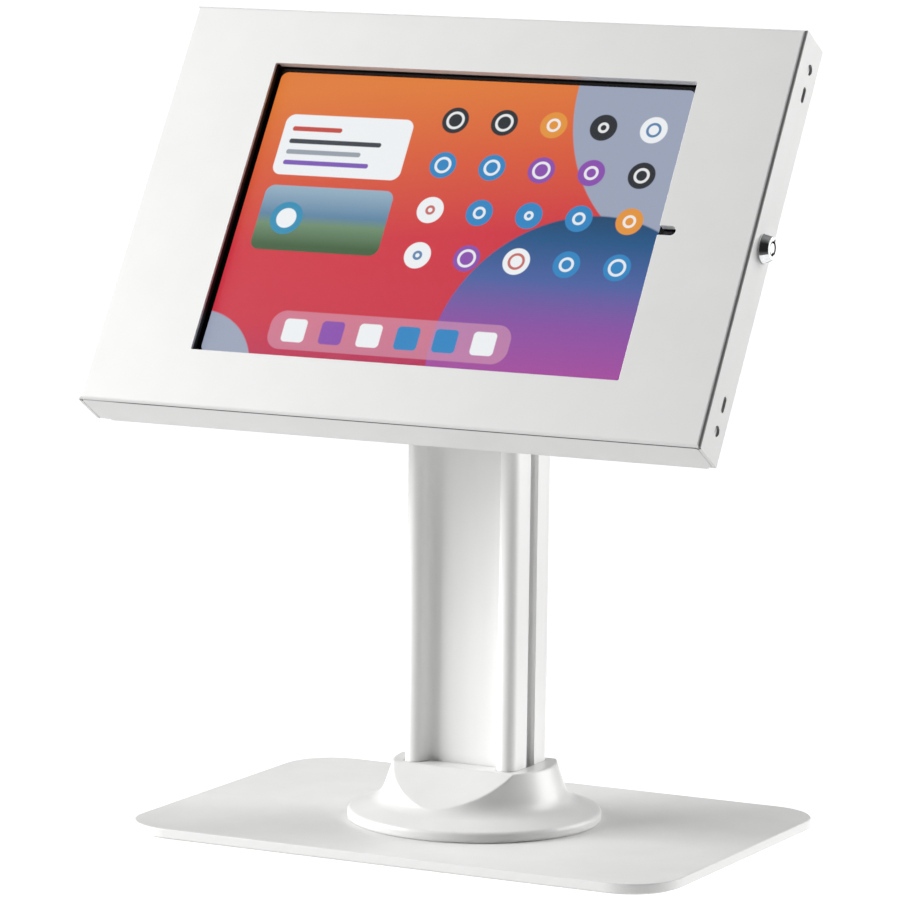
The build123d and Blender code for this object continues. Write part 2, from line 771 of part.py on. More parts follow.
with BuildPart() as corner_seats:
    with BuildSketch(panel):
        with Locations(seat_places):
            RectangleRounded(seat_side, seat_side, seat_round)
    extrude(amount=tablet_back + seat_rise)
    with BuildSketch(panel.offset(seat_floor)):
        offset(tablet_outline.sketch, amount=seat_gap)
    extrude(amount=cover_depth, mode=Mode.SUBTRACT)
    with BuildSketch(panel.offset(seat_floor)):
        with Locations(seat_places):
            Circle(seat_screw_head + loose_gap)
    extrude(amount=-seat_bore_depth, mode=Mode.SUBTRACT)
    with BuildSketch(panel):
        with Locations(seat_places):
            Circle(seat_screw_radius + running_gap)
    extrude(amount=seat_floor, mode=Mode.SUBTRACT)
corner_seats.part.label = "corner_seats"
export_step(corner_seats.part, "parts/corner_seats.step")

with BuildPart() as seat_screws:
    with BuildSketch(panel.offset(seat_floor - seat_bore_depth)):
        with Locations(seat_places):
            Circle(seat_screw_head)
    extrude(amount=seat_screw_head_height)
    with BuildSketch(panel.offset(seat_floor - seat_bore_depth)):
        with Locations(seat_places):
            Circle(seat_screw_radius)
    extrude(amount=seat_bore_depth - seat_floor - sheet)
seat_screws.part.label = "seat_screws"
export_step(seat_screws.part, "parts/seat_screws.step")

with BuildPart() as seat_pads:
    with BuildSketch(panel.offset(seat_floor)):
        with Locations((window_shift, 0)):
            with GridLocations(2 * (seat_x - pad_shift), 2 * (seat_y - pad_shift), 2, 2):
                RectangleRounded(pad_side, pad_side, pad_round)
    extrude(amount=pad_thickness)
seat_pads.part.label = "seat_pads"
export_step(seat_pads.part, "parts/seat_pads.step")

# Tablet: where its buttons sit on the edges of the shell
right_edge = wall.offset(window_shift + tablet_length / 2)
lower_edge = section.offset(tablet_width / 2)
power_place = (-power_button_reach, button_depth)
volume_up_place = (window_shift + volume_up_reach, button_depth)
volume_down_place = (window_shift + volume_down_reach, button_depth)
slot_places = ((right_edge, power_place), (lower_edge, volume_up_place), (lower_edge, volume_down_place))

with BuildPart() as tablet_shell:
    with BuildSketch(panel.offset(tablet_back)):
        add(tablet_outline.sketch)
    extrude(amount=glass_bottom - tablet_back)
    fillet(tablet_shell.faces().sort_by(panel_axis)[0].edges(), radius=tablet_edge_round)
    with BuildSketch(panel.offset(tablet_inside)):
        offset(tablet_outline.sketch, amount=-tablet_wall)
    extrude(amount=tablet_thickness, mode=Mode.SUBTRACT)
    with BuildSketch(wall.offset(window_shift - tablet_length / 2 - tablet_wall)):
        with Locations((0, button_depth)):
            SlotOverall(cable_port_length, cable_port_width)
    extrude(amount=2 * tablet_wall + overrun, mode=Mode.SUBTRACT)
    for edge_plane, place in slot_places:
        with BuildSketch(edge_plane):
            with Locations(place):
                SlotOverall(button_length + 2 * button_slot_gap, button_width + 2 * button_slot_gap)
        extrude(amount=-tablet_wall - overrun, mode=Mode.SUBTRACT)
tablet_shell.part.label = "tablet_shell"
export_step(tablet_shell.part, "parts/tablet_shell.step")

with BuildPart() as tablet_glass:
    with BuildSketch(panel.offset(glass_bottom)):
        add(tablet_outline.sketch)
        with Locations((window_shift + lens_reach, 0)):
            Circle(lens_radius + running_gap, mode=Mode.SUBTRACT)
    extrude(amount=glass_thickness)
tablet_glass.part.label = "tablet_glass"
export_step(tablet_glass.part, "parts/tablet_glass.step")

with BuildPart() as tablet_display:
    with BuildSketch(panel.offset(glass_bottom - display_gap)):
        with Locations((window_shift, 0)):
            RectangleRounded(display_length, display_width, display_corner)
    extrude(amount=-display_thickness)
tablet_display.part.label = "tablet_display"
export_step(tablet_display.part, "parts/tablet_display.step")

with BuildPart() as tablet_battery:
    with BuildSketch(panel.offset(tablet_inside)):
        with Locations((window_shift + (battery_start + battery_end) / 2, 0)):
            RectangleRounded(battery_end - battery_start, battery_width, battery_round)
    extrude(amount=battery_thickness)
tablet_battery.part.label = "tablet_battery"
export_step(tablet_battery.part, "parts/tablet_battery.step")

with BuildPart() as tablet_board:
    with BuildSketch(panel.offset(tablet_inside)):
        with Locations((window_shift + board_shift, 0)):
            Rectangle(board_length, board_width)
    extrude(amount=board_thickness)
tablet_board.part.label = "tablet_board"
export_step(tablet_board.part, "parts/tablet_board.step")

with BuildPart() as camera_lens:
    with BuildSketch(panel.offset(tablet_inside)):
        with Locations((window_shift + lens_reach, 0)):
            Circle(lens_radius)
    extrude(amount=glass_top - lens_recess - tablet_inside)
camera_lens.part.label = "camera_lens"
export_step(camera_lens.part, "parts/camera_lens.step")


def edge_button(edge_plane, place):
    with BuildPart() as button:
        with BuildSketch(edge_plane.offset(-tablet_wall)):
            with Locations(place):
                SlotOverall(button_length, button_width)
        extrude(amount=tablet_wall + button_proud)
        with BuildSketch(edge_plane.offset(-tablet_wall)):
            with Locations(place):
                SlotOverall(button_flange_length, button_flange_width)
        extrude(amount=-button_flange_thickness)
    return button


power_button = edge_button(right_edge, power_place)
power_button.part.label = "power_button"
export_step(power_button.part, "parts/power_button.step")

volume_up_button = edge_button(lower_edge, volume_up_place)
volume_up_button.part.label = "volume_up_button"
export_step(volume_up_button.part, "parts/volume_up_button.step")

volume_down_button = edge_button(lower_edge, volume_down_place)
volume_down_button.part.label = "volume_down_button"
export_step(volume_down_button.part, "parts/volume_down_button.step")

# Window outline with the camera slot, shared by the cover and its liner
with BuildSketch() as window_outline:
    with Locations((window_shift, 0)):
        RectangleRounded(window_width, window_height, window_round)
    slot_start = window_shift + window_width / 2 - overrun
    slot_centre = camera_slot_end - camera_slot_height / 2
    with Locations(((slot_start + slot_centre) / 2, -camera_slot_drop)):
        Rectangle(slot_centre - slot_start, camera_slot_height)
    with Locations((slot_centre, -camera_slot_drop)):
        Circle(camera_slot_height / 2)
    mouth_x = window_shift + window_width / 2
    for side in (-1, 1):
        mouth_point = (mouth_x, -camera_slot_drop + side * camera_slot_height / 2, 0)
        mouth = window_outline.vertices().sort_by_distance(mouth_point)[0]
        fillet(mouth, radius=mouth_round)

# Folded sheet steel cover with its window, side holes and corner slits
with BuildPart() as front_cover:
    with BuildSketch(panel):
        Rectangle(cover_width, cover_height)
    extrude(amount=cover_depth)
    fillet(front_cover.faces().sort_by(panel_axis)[-1].edges(), radius=bend_radius)
    with BuildSketch(panel.offset(inner_face)):
        Rectangle(2 * wall_inside, cover_height - 2 * sheet)
    extrude(amount=-inner_face - overrun, mode=Mode.SUBTRACT)
    inner_rim = front_cover.faces().filter_by(panel).sort_by(panel_axis)[-2].edges()
    fillet(inner_rim, radius=inner_bend)
    with BuildSketch(panel.offset(inner_face - overrun)):
        add(window_outline.sketch)
    extrude(amount=sheet + 2 * overrun, mode=Mode.SUBTRACT)
    for side in (-1, 1):
        for level in (-1, 1):
            slit_x = side * (wall_inside - seam / 2)
            slit_u = level * (cover_height / 2 - sheet / 2)
            with BuildSketch(panel.offset(-overrun)):
                with Locations((slit_x, slit_u)):
                    Rectangle(seam, sheet + seam)
            extrude(amount=cover_depth - bend_radius + overrun, mode=Mode.SUBTRACT)
            with BuildSketch(section.offset(-level * (cover_height / 2 - sheet - seam))):
                with Locations((slit_x, cover_depth - bend_radius)):
                    Circle(relief_radius)
            extrude(amount=-level * (sheet + seam + overrun), mode=Mode.SUBTRACT)
    with BuildSketch(wall.offset(-cover_width / 2 - overrun)):
        for level in (-1, 1):
            with Locations((level * wall_hole_reach, wall_hole_depth)):
                Circle(wall_hole_radius)
            with Locations((level * wall_slot_reach, wall_hole_depth)):
                SlotOverall(wall_slot_length, wall_slot_width)
    extrude(amount=cover_width + 2 * overrun, mode=Mode.SUBTRACT)
    with BuildSketch(wall.offset(wall_inside - overrun)):
        with Locations(lock_point):
            Circle(lock_thread_radius + running_gap)
    extrude(amount=sheet + 2 * overrun, mode=Mode.SUBTRACT)
front_cover.part.label = "front_cover"
export_step(front_cover.part, "parts/front_cover.step")

# Liner behind the window
with BuildPart() as window_liner:
    with BuildSketch(panel.offset(inner_face)):
        with Locations((window_shift, 0)):
            Rectangle(window_width + 2 * liner_margin, window_height + 2 * liner_margin)
        add(window_outline.sketch, mode=Mode.SUBTRACT)
    extrude(amount=-liner_thickness)
window_liner.part.label = "window_liner"
export_step(window_liner.part, "parts/window_liner.step")

# Housing of the tubular lock, a tapered bezel on a threaded barrel
bezel_slope = degrees(atan2(bezel_radius - bezel_face_radius, bezel_height - bezel_rim))
with BuildPart() as lock_housing:
    with BuildSketch(wall.offset(lock_rear)):
        with Locations(lock_point):
            Circle(lock_thread_radius)
    extrude(amount=lock_length)
    with BuildSketch(wall.offset(wall_outside)):
        with Locations(lock_point):
            Circle(bezel_radius)
    extrude(amount=bezel_rim)
    with BuildSketch(wall.offset(wall_outside + bezel_rim)):
        with Locations(lock_point):
            Circle(bezel_radius)
    extrude(amount=bezel_height - bezel_rim, taper=bezel_slope)
    with BuildSketch(wall.offset(plug_shoulder)):
        with Locations(lock_point):
            Circle(keyway_radius)
    extrude(amount=lock_face - plug_shoulder, mode=Mode.SUBTRACT)
    with BuildSketch(wall.offset(lock_rear)):
        with Locations(lock_point):
            Circle(plug_rear_radius + running_gap)
    extrude(amount=plug_shoulder - lock_rear, mode=Mode.SUBTRACT)
    with BuildSketch(wall.offset(keyway_floor)):
        with Locations((key_notch_reach / 2, wall_hole_depth)):
            Rectangle(key_notch_reach, key_notch_width)
    extrude(amount=keyway_depth, mode=Mode.SUBTRACT)
lock_housing.part.label = "lock_housing"
export_step(lock_housing.part, "parts/lock_housing.step")

with BuildPart() as lock_nut:
    with BuildSketch(wall.offset(wall_inside - lock_nut_height)):
        with Locations(lock_point):
            RegularPolygon(radius=lock_nut_across / 2, side_count=6, major_radius=False)
            Circle(lock_thread_radius + running_gap, mode=Mode.SUBTRACT)
    extrude(amount=lock_nut_height)
lock_nut.part.label = "lock_nut"
export_step(lock_nut.part, "parts/lock_nut.step")

# Plug with the ring keyway in front and the square boss for the cam behind
with BuildPart() as lock_plug:
    with BuildSketch(wall.offset(cam_back)):
        with Locations(lock_point):
            Rectangle(boss_side, boss_side)
    extrude(amount=cam_thickness)
    with BuildSketch(wall.offset(cam_front)):
        with Locations(lock_point):
            Circle(plug_rear_radius)
    extrude(amount=plug_shoulder - cam_front)
    with BuildSketch(wall.offset(plug_shoulder)):
        with Locations(lock_point):
            Circle(plug_front_radius)
    extrude(amount=keyway_floor - plug_shoulder)
    with BuildSketch(wall.offset(keyway_floor)):
        with Locations(lock_point):
            Circle(key_pin_radius)
            with PolarLocations(key_pin_radius, 1, start_angle=225):
                Rectangle(key_notch_width, key_notch_width, mode=Mode.SUBTRACT)
    extrude(amount=keyway_depth - key_pin_recess)
    with BuildSketch(wall.offset(cam_back)):
        with Locations(lock_point):
            Circle(cam_screw_radius + running_gap)
    extrude(amount=cam_screw_length, mode=Mode.SUBTRACT)
lock_plug.part.label = "lock_plug"
export_step(lock_plug.part, "parts/lock_plug.step")

with BuildPart() as lock_cam:
    with BuildSketch(wall.offset(cam_back)):
        with Locations(lock_point):
            Circle(cam_radius)
        with Locations((0, wall_hole_depth - cam_reach)):
            Circle(cam_tip_radius)
        make_hull()
        with Locations(lock_point):
            Rectangle(boss_side + 2 * running_gap, boss_side + 2 * running_gap, mode=Mode.SUBTRACT)
    extrude(amount=cam_thickness)
lock_cam.part.label = "lock_cam"
export_step(lock_cam.part, "parts/lock_cam.step")

with BuildPart() as cam_screw:
    with BuildSketch(wall.offset(cam_back - cam_screw_head_height)):
        with Locations(lock_point):
            Circle(cam_screw_head)
    extrude(amount=cam_screw_head_height)
    with BuildSketch(wall.offset(cam_back)):
        with Locations(lock_point):
            Circle(cam_screw_radius)
    extrude(amount=cam_screw_length - running_gap)
cam_screw.part.label = "cam_screw"
export_step(cam_screw.part, "parts/cam_screw.step")
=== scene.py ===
import bpy
import bmesh
import json
import math
from mathutils import Matrix, Vector


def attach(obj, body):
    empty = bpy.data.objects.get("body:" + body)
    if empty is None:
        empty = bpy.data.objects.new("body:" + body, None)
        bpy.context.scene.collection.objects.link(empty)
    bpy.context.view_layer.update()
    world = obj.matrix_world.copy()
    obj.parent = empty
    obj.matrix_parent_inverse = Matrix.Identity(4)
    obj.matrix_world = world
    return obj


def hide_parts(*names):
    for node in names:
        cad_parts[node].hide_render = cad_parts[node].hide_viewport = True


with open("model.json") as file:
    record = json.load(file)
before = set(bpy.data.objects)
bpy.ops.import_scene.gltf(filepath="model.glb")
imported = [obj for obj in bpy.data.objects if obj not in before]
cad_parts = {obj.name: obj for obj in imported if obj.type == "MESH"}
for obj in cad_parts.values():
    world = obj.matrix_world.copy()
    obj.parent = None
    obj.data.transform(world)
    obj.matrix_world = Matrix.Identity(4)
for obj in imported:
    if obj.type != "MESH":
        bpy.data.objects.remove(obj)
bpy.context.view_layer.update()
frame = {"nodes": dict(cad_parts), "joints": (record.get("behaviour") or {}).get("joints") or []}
nodes = frame["nodes"]
mm = 0.001
print("frame loaded,", len(nodes), "nodes")

# places taken from the frame
joints = {joint["name"]: joint for joint in frame["joints"]}
faceCentre = Vector(joints["turn"]["pos_m"])
faceNormal = Vector(joints["turn"]["axis"]).normalized()
faceRight = Vector((1, 0, 0))
faceUp = faceNormal.cross(faceRight)


def span(name, axis, origin=faceCentre):
    # how far a node reaches along an axis, in millimetres
    reach = [(vertex.co - origin).dot(axis) / mm for vertex in nodes[name].data.vertices]
    return min(reach), max(reach)


def heading(azimuth, elevation):
    # unit vector from the middle of the stand outwards; azimuth 0 is the front, 90 the right
    turn, rise = math.radians(azimuth), math.radians(elevation)
    return Vector((math.sin(turn) * math.cos(rise), -math.cos(turn) * math.cos(rise), math.sin(rise)))


# helpers for materials
def toLinear(hexColour):
    # sRGB hex to the linear colour that a socket takes
    channels = [int(hexColour[i:i + 2], 16) / 255 for i in (1, 3, 5)]
    return [c / 12.92 if c <= 0.04045 else ((c + 0.055) / 1.055) ** 2.4 for c in channels] + [1.0]


def fillRamp(ramp, stops, mode):
    # stops are (position, colour) in rising order
    ramp.interpolation = mode
    while len(ramp.elements) < len(stops):
        ramp.elements.new(1.0)
    for element, (position, colour) in zip(ramp.elements, stops):
        element.position, element.color = position, toLinear(colour)


def addNode(tree, kind, settings=None):
    # a setting is a property, an input's value or hex colour, or a node or socket to link;
    # "stops" fills a colour ramp that blends, "bands" one that steps
    node = tree.nodes.new("ShaderNode" + kind)
    for key, value in (settings or {}).items():
        if key in ("stops", "bands"):
            fillRamp(node.color_ramp, value, "LINEAR" if key == "stops" else "CONSTANT")
        elif isinstance(value, bpy.types.Node):
            tree.links.new(value.outputs[0], node.inputs[key])
        elif isinstance(value, bpy.types.NodeSocket):
            tree.links.new(value, node.inputs[key])
        elif isinstance(value, str) and value.startswith("#"):
            node.inputs[key].default_value = toLinear(value)
        elif isinstance(key, str) and hasattr(node, key) and key not in node.inputs:
            setattr(node, key, value)
        else:
            node.inputs[key].default_value = value
    return node


def newMaterial(name):
    material = bpy.data.materials.new(name)
    material.use_nodes = True
    material.node_tree.nodes.clear()
    return material, material.node_tree


# how noise is read: the part of its range that colours and gloss use, and its roughness
noise = {"colourRange": (0.3, 0.7), "glossRange": (0.25, 0.75), "roughness": 0.55, "glossDetail": 3}
bevelSamples = 4


def grain(tree, point, size, detail=2.0, stretch=(1, 1, 1)):
    # noise whose blobs are about size millimetres across; stretch draws them out along an axis
    scaled = addNode(tree, "Mapping", {"Vector": point, "Scale": [share / (size * mm) for share in stretch]})
    return addNode(tree, "TexNoise", {"Vector": scaled, "Scale": 1.0, "Detail": detail,
                                     "Roughness": noise["roughness"]})


def relief(tree, height, depth, strength, edge=0):
    # a pattern pressed into the surface, over edges that look rounded to a radius of edge millimetres
    settings = {"Height": height, "Distance": depth * mm, "Strength": strength}
    if edge:
        settings["Normal"] = addNode(tree, "Bevel", {"samples": bevelSamples, "Radius": edge * mm})
    return addNode(tree, "Bump", settings)


def cloudy(tree, point, shades, **blobs):
    # a colour that wanders between a dark and a light shade, over blobs that grain describes
    stops = tuple(zip(noise["colourRange"], shades))
    return addNode(tree, "ValToRGB", {"Fac": grain(tree, point, **blobs), "stops": stops})


def makeFinish(name, look, touchUp=None):
    # a cloudy colour, with a wandering gloss and marks pressed in where the look names them;
    # constants sit on the shader's own sockets
    material, tree = newMaterial(name)
    point = addNode(tree, "TexCoord").outputs["Object"]
    colour = cloudy(tree, point, look["shades"], **look["cloud"])
    # the touch-ups used below paint shade into the colour
    if touchUp:
        colour = touchUp(tree, colour)
    settings = {"Base Color": colour, **look["shader"]}
    if "gloss" in look:
        smooth, rough, size = look["gloss"]
        low, high = noise["glossRange"]
        wandering = grain(tree, point, size, noise["glossDetail"])
        settings["Roughness"] = addNode(tree, "MapRange", {
            "Value": wandering, "From Min": low, "From Max": high, "To Min": smooth, "To Max": rough})
    if "marks" in look:
        settings["Normal"] = relief(tree, grain(tree, point, **look["marks"]), **look["relief"])
    addNode(tree, "OutputMaterial", {"Surface": addNode(tree, "BsdfPrincipled", settings)})
    return material


def overlap(tree, *masks):
    # 1 only where every mask is 1; a plain number weakens it
    both = masks[0]
    for mask in masks[1:]:
        both = addNode(tree, "Math", {"operation": "MULTIPLY", 0: both, 1: mask})
    return both


def coatOver(tree, below, above, mask, opacity=1.0):
    # one colour laid over another; inputs 6 and 7 and output 2 of the mix are its colours
    mask = overlap(tree, mask, opacity)
    return addNode(tree, "Mix", {"data_type": "RGBA", 0: mask, 6: below, 7: above}).outputs[2]


def facePosition(tree):
    # millimetres across, up and out of the enclosure, from its middle
    point = addNode(tree, "TexCoord").outputs["Object"]
    offset = addNode(tree, "VectorMath", {"operation": "SUBTRACT", 0: point, 1: tuple(faceCentre)})
    axes = {}
    for name, axis in zip("XYZ", (faceRight, faceUp, faceNormal)):
        along = addNode(tree, "VectorMath", {"operation": "DOT_PRODUCT", 0: offset, 1: tuple(axis / mm)})
        axes[name] = along.outputs["Value"]
    return addNode(tree, "CombineXYZ", axes)


def insideTile(tree, place, centre, half, corner, soft=0.25):
    # 1 inside a rounded rectangle, 0 outside, with a soft edge in millimetres
    core = (half[0] - corner, half[1] - corner, 0)
    steps = (("MULTIPLY", (1, 1, 0)), ("SUBTRACT", (*centre, 0)), ("ABSOLUTE", (0, 0, 0)), ("SUBTRACT", core),
             ("MAXIMUM", (0, 0, 0)), ("LENGTH", (0, 0, 0)))
    for operation, value in steps:
        place = addNode(tree, "VectorMath", {"operation": operation, 0: place, 1: value})
    return addNode(tree, "MapRange", {"Value": place.outputs["Value"], "From Min": corner + soft,
                                      "From Max": corner - soft})


def insideDisc(tree, place, centre, radius, soft=0.25):
    return insideTile(tree, place, centre, (radius, radius), radius, soft)


def band(tree, value, low, high, soft=0.1):
    # 1 between two places along a line, 0 outside them
    after = addNode(tree, "MapRange", {"Value": value, "From Min": low - soft, "From Max": low + soft})
    before = addNode(tree, "MapRange", {"Value": value, "From Min": high + soft, "From Max": high - soft})
    return overlap(tree, after, before)


def paint(names, material):
    for name in names:
        slots = nodes[name].data.materials
        slots.clear()
        slots.append(material)


# camera
camera = {
    # the view was fitted to the corners of the enclosure and the base plate; degrees and metres
    "azimuth": 26.92, "elevation": 7.777, "roll": 0.7458,
    "place": (1.14965, -2.29659, 0.54403),
    "focalPixels": 5172.98, "framePixels": 900,
    "sensor": 36, "near": 0.1, "far": 50,
}


def makeCamera():
    back = heading(camera["azimuth"], camera["elevation"])
    right = Vector((0, 0, 1)).cross(back).normalized()
    up = back.cross(right)
    lean = math.radians(camera["roll"])
    leanRight = right * math.cos(lean) + up * math.sin(lean)
    leanUp = up * math.cos(lean) - right * math.sin(lean)
    data = bpy.data.cameras.new("camera")
    data.sensor_width = camera["sensor"]
    data.lens = camera["sensor"] * camera["focalPixels"] / camera["framePixels"]
    data.clip_start = camera["near"]
    data.clip_end = camera["far"]
    eye = bpy.data.objects.new("camera", data)
    rows = Matrix((leanRight, leanUp, back)).transposed().to_4x4()
    eye.matrix_world = Matrix.Translation(camera["place"]) @ rows
    bpy.context.scene.collection.objects.link(eye)
    bpy.context.scene.camera = eye


makeCamera()
print("camera placed")


# floor and light
floor = {
    # a round lit table top
    "radius": 0.42, "segments": 96,
    "look": {"shades": ("#5E5E5E", "#646464"), "cloud": {"size": 4},
             "shader": {"Roughness": 0.6, "Emission Color": "#FFFFFF", "Emission Strength": 1.0}},
}
lamps = {
    # name: (azimuth, elevation, distance, width, height, watts)
    "keyLeft": (-62, 22, 2.2, 1.6, 1.6, 74),
    "rimRight": (135, 22, 2.0, 1.2, 1.6, 29),
    "rimLow": (122, 4, 2.0, 1.2, 1.0, 7),
    "lockGlint": (155, -3, 2.0, 0.5, 0.5, 0.9),
}
lampAim = Vector((0, 0, 0.2))
room = {
    # the camera sees a white backdrop and pale grey other walls, the object a softer room;
    # an edge is the two cosines between which a wall begins and is full
    "backdrop": 1.05, "rearWall": 0.74, "backdropEdge": (0.8, 0.94), "ambient": 0.26,
    # a black flag at the right of the camera, by azimuth and elevation, darkens the bends that face it
    "flag": (44, 11.31), "flagDepth": 0.92, "flagEdge": (0.35, 0.85),
}


def makeFloor():
    mesh = bpy.data.meshes.new("floor")
    rim = bmesh.new()
    bmesh.ops.create_circle(rim, cap_ends=True, segments=floor["segments"], radius=floor["radius"])
    rim.to_mesh(mesh)
    rim.free()
    top = bpy.data.objects.new("floor", mesh)
    bpy.context.scene.collection.objects.link(top)
    mesh.materials.append(makeFinish("whiteTableTop", floor["look"]))


def makeLamps():
    for name, (azimuth, elevation, distance, width, height, watts) in lamps.items():
        out = heading(azimuth, elevation)
        data = bpy.data.lights.new(name, "AREA")
        data.shape = "RECTANGLE"
        data.size = width
        data.size_y = height
        data.energy = watts
        lamp = bpy.data.objects.new(name, data)
        lamp.location = out * distance + lampAim
        lamp.rotation_mode = "QUATERNION"
        lamp.rotation_quaternion = out.to_track_quat("Z", "Y")
        bpy.context.scene.collection.objects.link(lamp)


def makeRoom():
    world = bpy.data.worlds.new("studio")
    world.use_nodes = True
    tree = world.node_tree
    tree.nodes.clear()
    ray = addNode(tree, "TexCoord").outputs["Generated"]
    toward = addNode(tree, "VectorMath", {"operation": "DOT_PRODUCT", 0: ray, 1: heading(*room["flag"])})
    around = addNode(tree, "MapRange", {"Value": toward.outputs["Value"], "From Min": room["flagEdge"][0],
                                        "From Max": room["flagEdge"][1], "To Min": room["ambient"],
                                        "To Max": room["ambient"] * (1 - room["flagDepth"])})
    # the level part of the camera's line of sight
    sight = heading(camera["azimuth"], camera["elevation"]) * Vector((-1, -1, 0))
    ahead = addNode(tree, "VectorMath", {"operation": "DOT_PRODUCT", 0: ray, 1: sight})
    wall = addNode(tree, "MapRange", {"Value": ahead.outputs["Value"], "From Min": room["backdropEdge"][0],
                                      "From Max": room["backdropEdge"][1], "To Min": room["rearWall"],
                                      "To Max": room["backdrop"]})
    path = addNode(tree, "LightPath").outputs["Is Camera Ray"]
    strength = addNode(tree, "MapRange", {"Value": path, "To Min": around, "To Max": wall})
    sky = addNode(tree, "Background", {"Color": "#FFFFFF", "Strength": strength})
    addNode(tree, "OutputWorld", {"Surface": sky})
    bpy.context.scene.world = world
    view = bpy.context.scene.view_settings
    view.view_transform = "Standard"
    view.look = "None"


makeFloor()
makeLamps()
makeRoom()
print("floor and lights placed")


# front cover
cover = {
    "half": (span("front_cover", faceRight)[1], span("front_cover", faceUp)[1]),
    "depth": span("front_cover", faceNormal)[1],
    # the three greys are painted shade: on the right bend, along the lower crease and in the side holes' cut
    # walls
    "sheet": 1.5, "bendShade": "#6E6E6D", "creaseShade": "#2C2C2C", "holeWallShade": "#C8C8C7",
    # millimetres in from the outer faces between which each painted shade begins and is full
    "bendInward": (1.2, 0.9), "bendBehind": (1.6, 1.25), "creaseBehind": (1.85, 1.15), "creaseUp": (0.5, 0.2),
    "holesInward": (3.0, 3.2), "holeSkin": 0.15, "holeSoft": 0.04,
    "creaseFadeShare": 0.82, "creaseShares": (0.3, 1.0), "bendOpacity": 0.8, "holeOpacity": 0.85,
}


def paintedSheetShade(tree, colour):
    # painted shade: a mid grey over the right bend, a dark line along the lower crease, and grey in the cut
    # walls of the side holes
    parts = addNode(tree, "SeparateXYZ", {"Vector": facePosition(tree)})
    across, up, out = (parts.outputs[axis] for axis in "XYZ")
    halfWide, halfHigh = cover["half"]
    depth = cover["depth"]
    begin, full = cover["bendInward"]
    atSide = addNode(tree, "MapRange", {"Value": across, "From Min": halfWide - begin,
                                        "From Max": halfWide - full})
    begin, full = cover["bendBehind"]
    inFront = addNode(tree, "MapRange", {"Value": out, "From Min": depth - begin, "From Max": depth - full})
    # painted shade over the right bend
    colour = coatOver(tree, colour, cover["bendShade"], overlap(tree, atSide, inFront), cover["bendOpacity"])
    begin, full = cover["creaseUp"]
    below = addNode(tree, "MapRange", {"Value": up, "From Min": begin - halfHigh,
                                       "From Max": full - halfHigh})
    back, front = cover["creaseBehind"]
    faint, strong = cover["creaseShares"]
    fading = addNode(tree, "MapRange", {"Value": across, "From Min": -halfWide,
                                        "From Max": -cover["creaseFadeShare"] * halfWide,
                                        "To Min": faint, "To Max": strong})
    crease = overlap(tree, band(tree, out, depth - back, depth - front), below, fading)
    # painted shade: a dark line along the lower crease
    colour = coatOver(tree, colour, cover["creaseShade"], crease)
    sideways = addNode(tree, "Math", {"operation": "ABSOLUTE", 0: across})
    upward = addNode(tree, "Math", {"operation": "ABSOLUTE", 0: up})
    holes = band(tree, sideways, halfWide - cover["sheet"], halfWide - cover["holeSkin"], cover["holeSoft"])
    begin, full = cover["holesInward"]
    for value, reach in ((upward, halfHigh), (out, depth)):
        inward = addNode(tree, "MapRange", {"Value": value, "From Min": reach - begin,
                                            "From Max": reach - full})
        holes = overlap(tree, holes, inward)
    # painted shade in the cut walls of the side holes
    return coatOver(tree, colour, cover["holeWallShade"], holes, cover["holeOpacity"])


# back plate and base plate
# the grey of the painted shade in closed-in corners, how far ambient occlusion looks, and where the shade
# begins and is full
backPlate = {"cornerShadeGrey": "#BEBEBD", "reach": 20, "samples": 8, "closed": (0.45, 0.15), "opacity": 0.9}
# rim is the grey of the painted shade on the plate's upright edge
basePlate = {"rim": "#DEDEDD", "upright": (0.6, 0.3)}


def deepShade(tree, colour):
    # painted shade: corners that ambient occlusion finds closed in are painted greyer
    free = addNode(tree, "AmbientOcclusion", {"samples": backPlate["samples"],
                                              "Distance": backPlate["reach"] * mm})
    closed = addNode(tree, "MapRange", {"Value": free.outputs["AO"], "From Min": backPlate["closed"][0],
                                        "From Max": backPlate["closed"][1]})
    return coatOver(tree, colour, backPlate["cornerShadeGrey"], closed, backPlate["opacity"])


def paintedRimShade(tree, colour):
    # painted shade: the thin upright edge of the plate is painted a flat grey, a trace darker than its top
    facing = addNode(tree, "SeparateXYZ", {"Vector": addNode(tree, "TexCoord").outputs["Normal"]})
    flat = addNode(tree, "Math", {"operation": "ABSOLUTE", 0: facing.outputs["Z"]})
    upright = addNode(tree, "MapRange", {"Value": flat, "From Min": basePlate["upright"][0],
                                         "From Max": basePlate["upright"][1]})
    return coatOver(tree, colour, basePlate["rim"], upright)


# window liner
def innerSpan(name, axes, margin):
    # the span of the corners that lie inside a node's outline
    places = [vertex.co - faceCentre for vertex in nodes[name].data.vertices]
    reach = [[place.dot(axis) / mm for axis in axes] for place in places]
    outline = [(min(places) + margin, max(places) - margin) for places in zip(*reach)]
    inner = [spot for spot in reach if all(low < place < high for place, (low, high) in zip(spot, outline))]
    return [(min(places), max(places)) for places in zip(*inner)]


linerRim = {"margin": 4, "lipWidth": 1.5}
edges = innerSpan("window_liner", (faceRight, faceUp), linerRim["margin"])
liner = {
    # the black lip reaches a little way round the window, whose place the inner corners give
    "centre": [(low + high) / 2 for low, high in edges],
    "half": [(high - low) / 2 + linerRim["lipWidth"] for low, high in edges],
    "front": span("window_liner", faceNormal)[1],
    # lip is the black of the lip and of the painted shade on the left wall; leftWall and leftSoft place the
    # shade's edge
    "lip": "#161617", "corner": 2.0, "soft": 0.3, "blackBehind": (2.0, 2.2), "leftWall": 3, "leftSoft": 0.2,
}


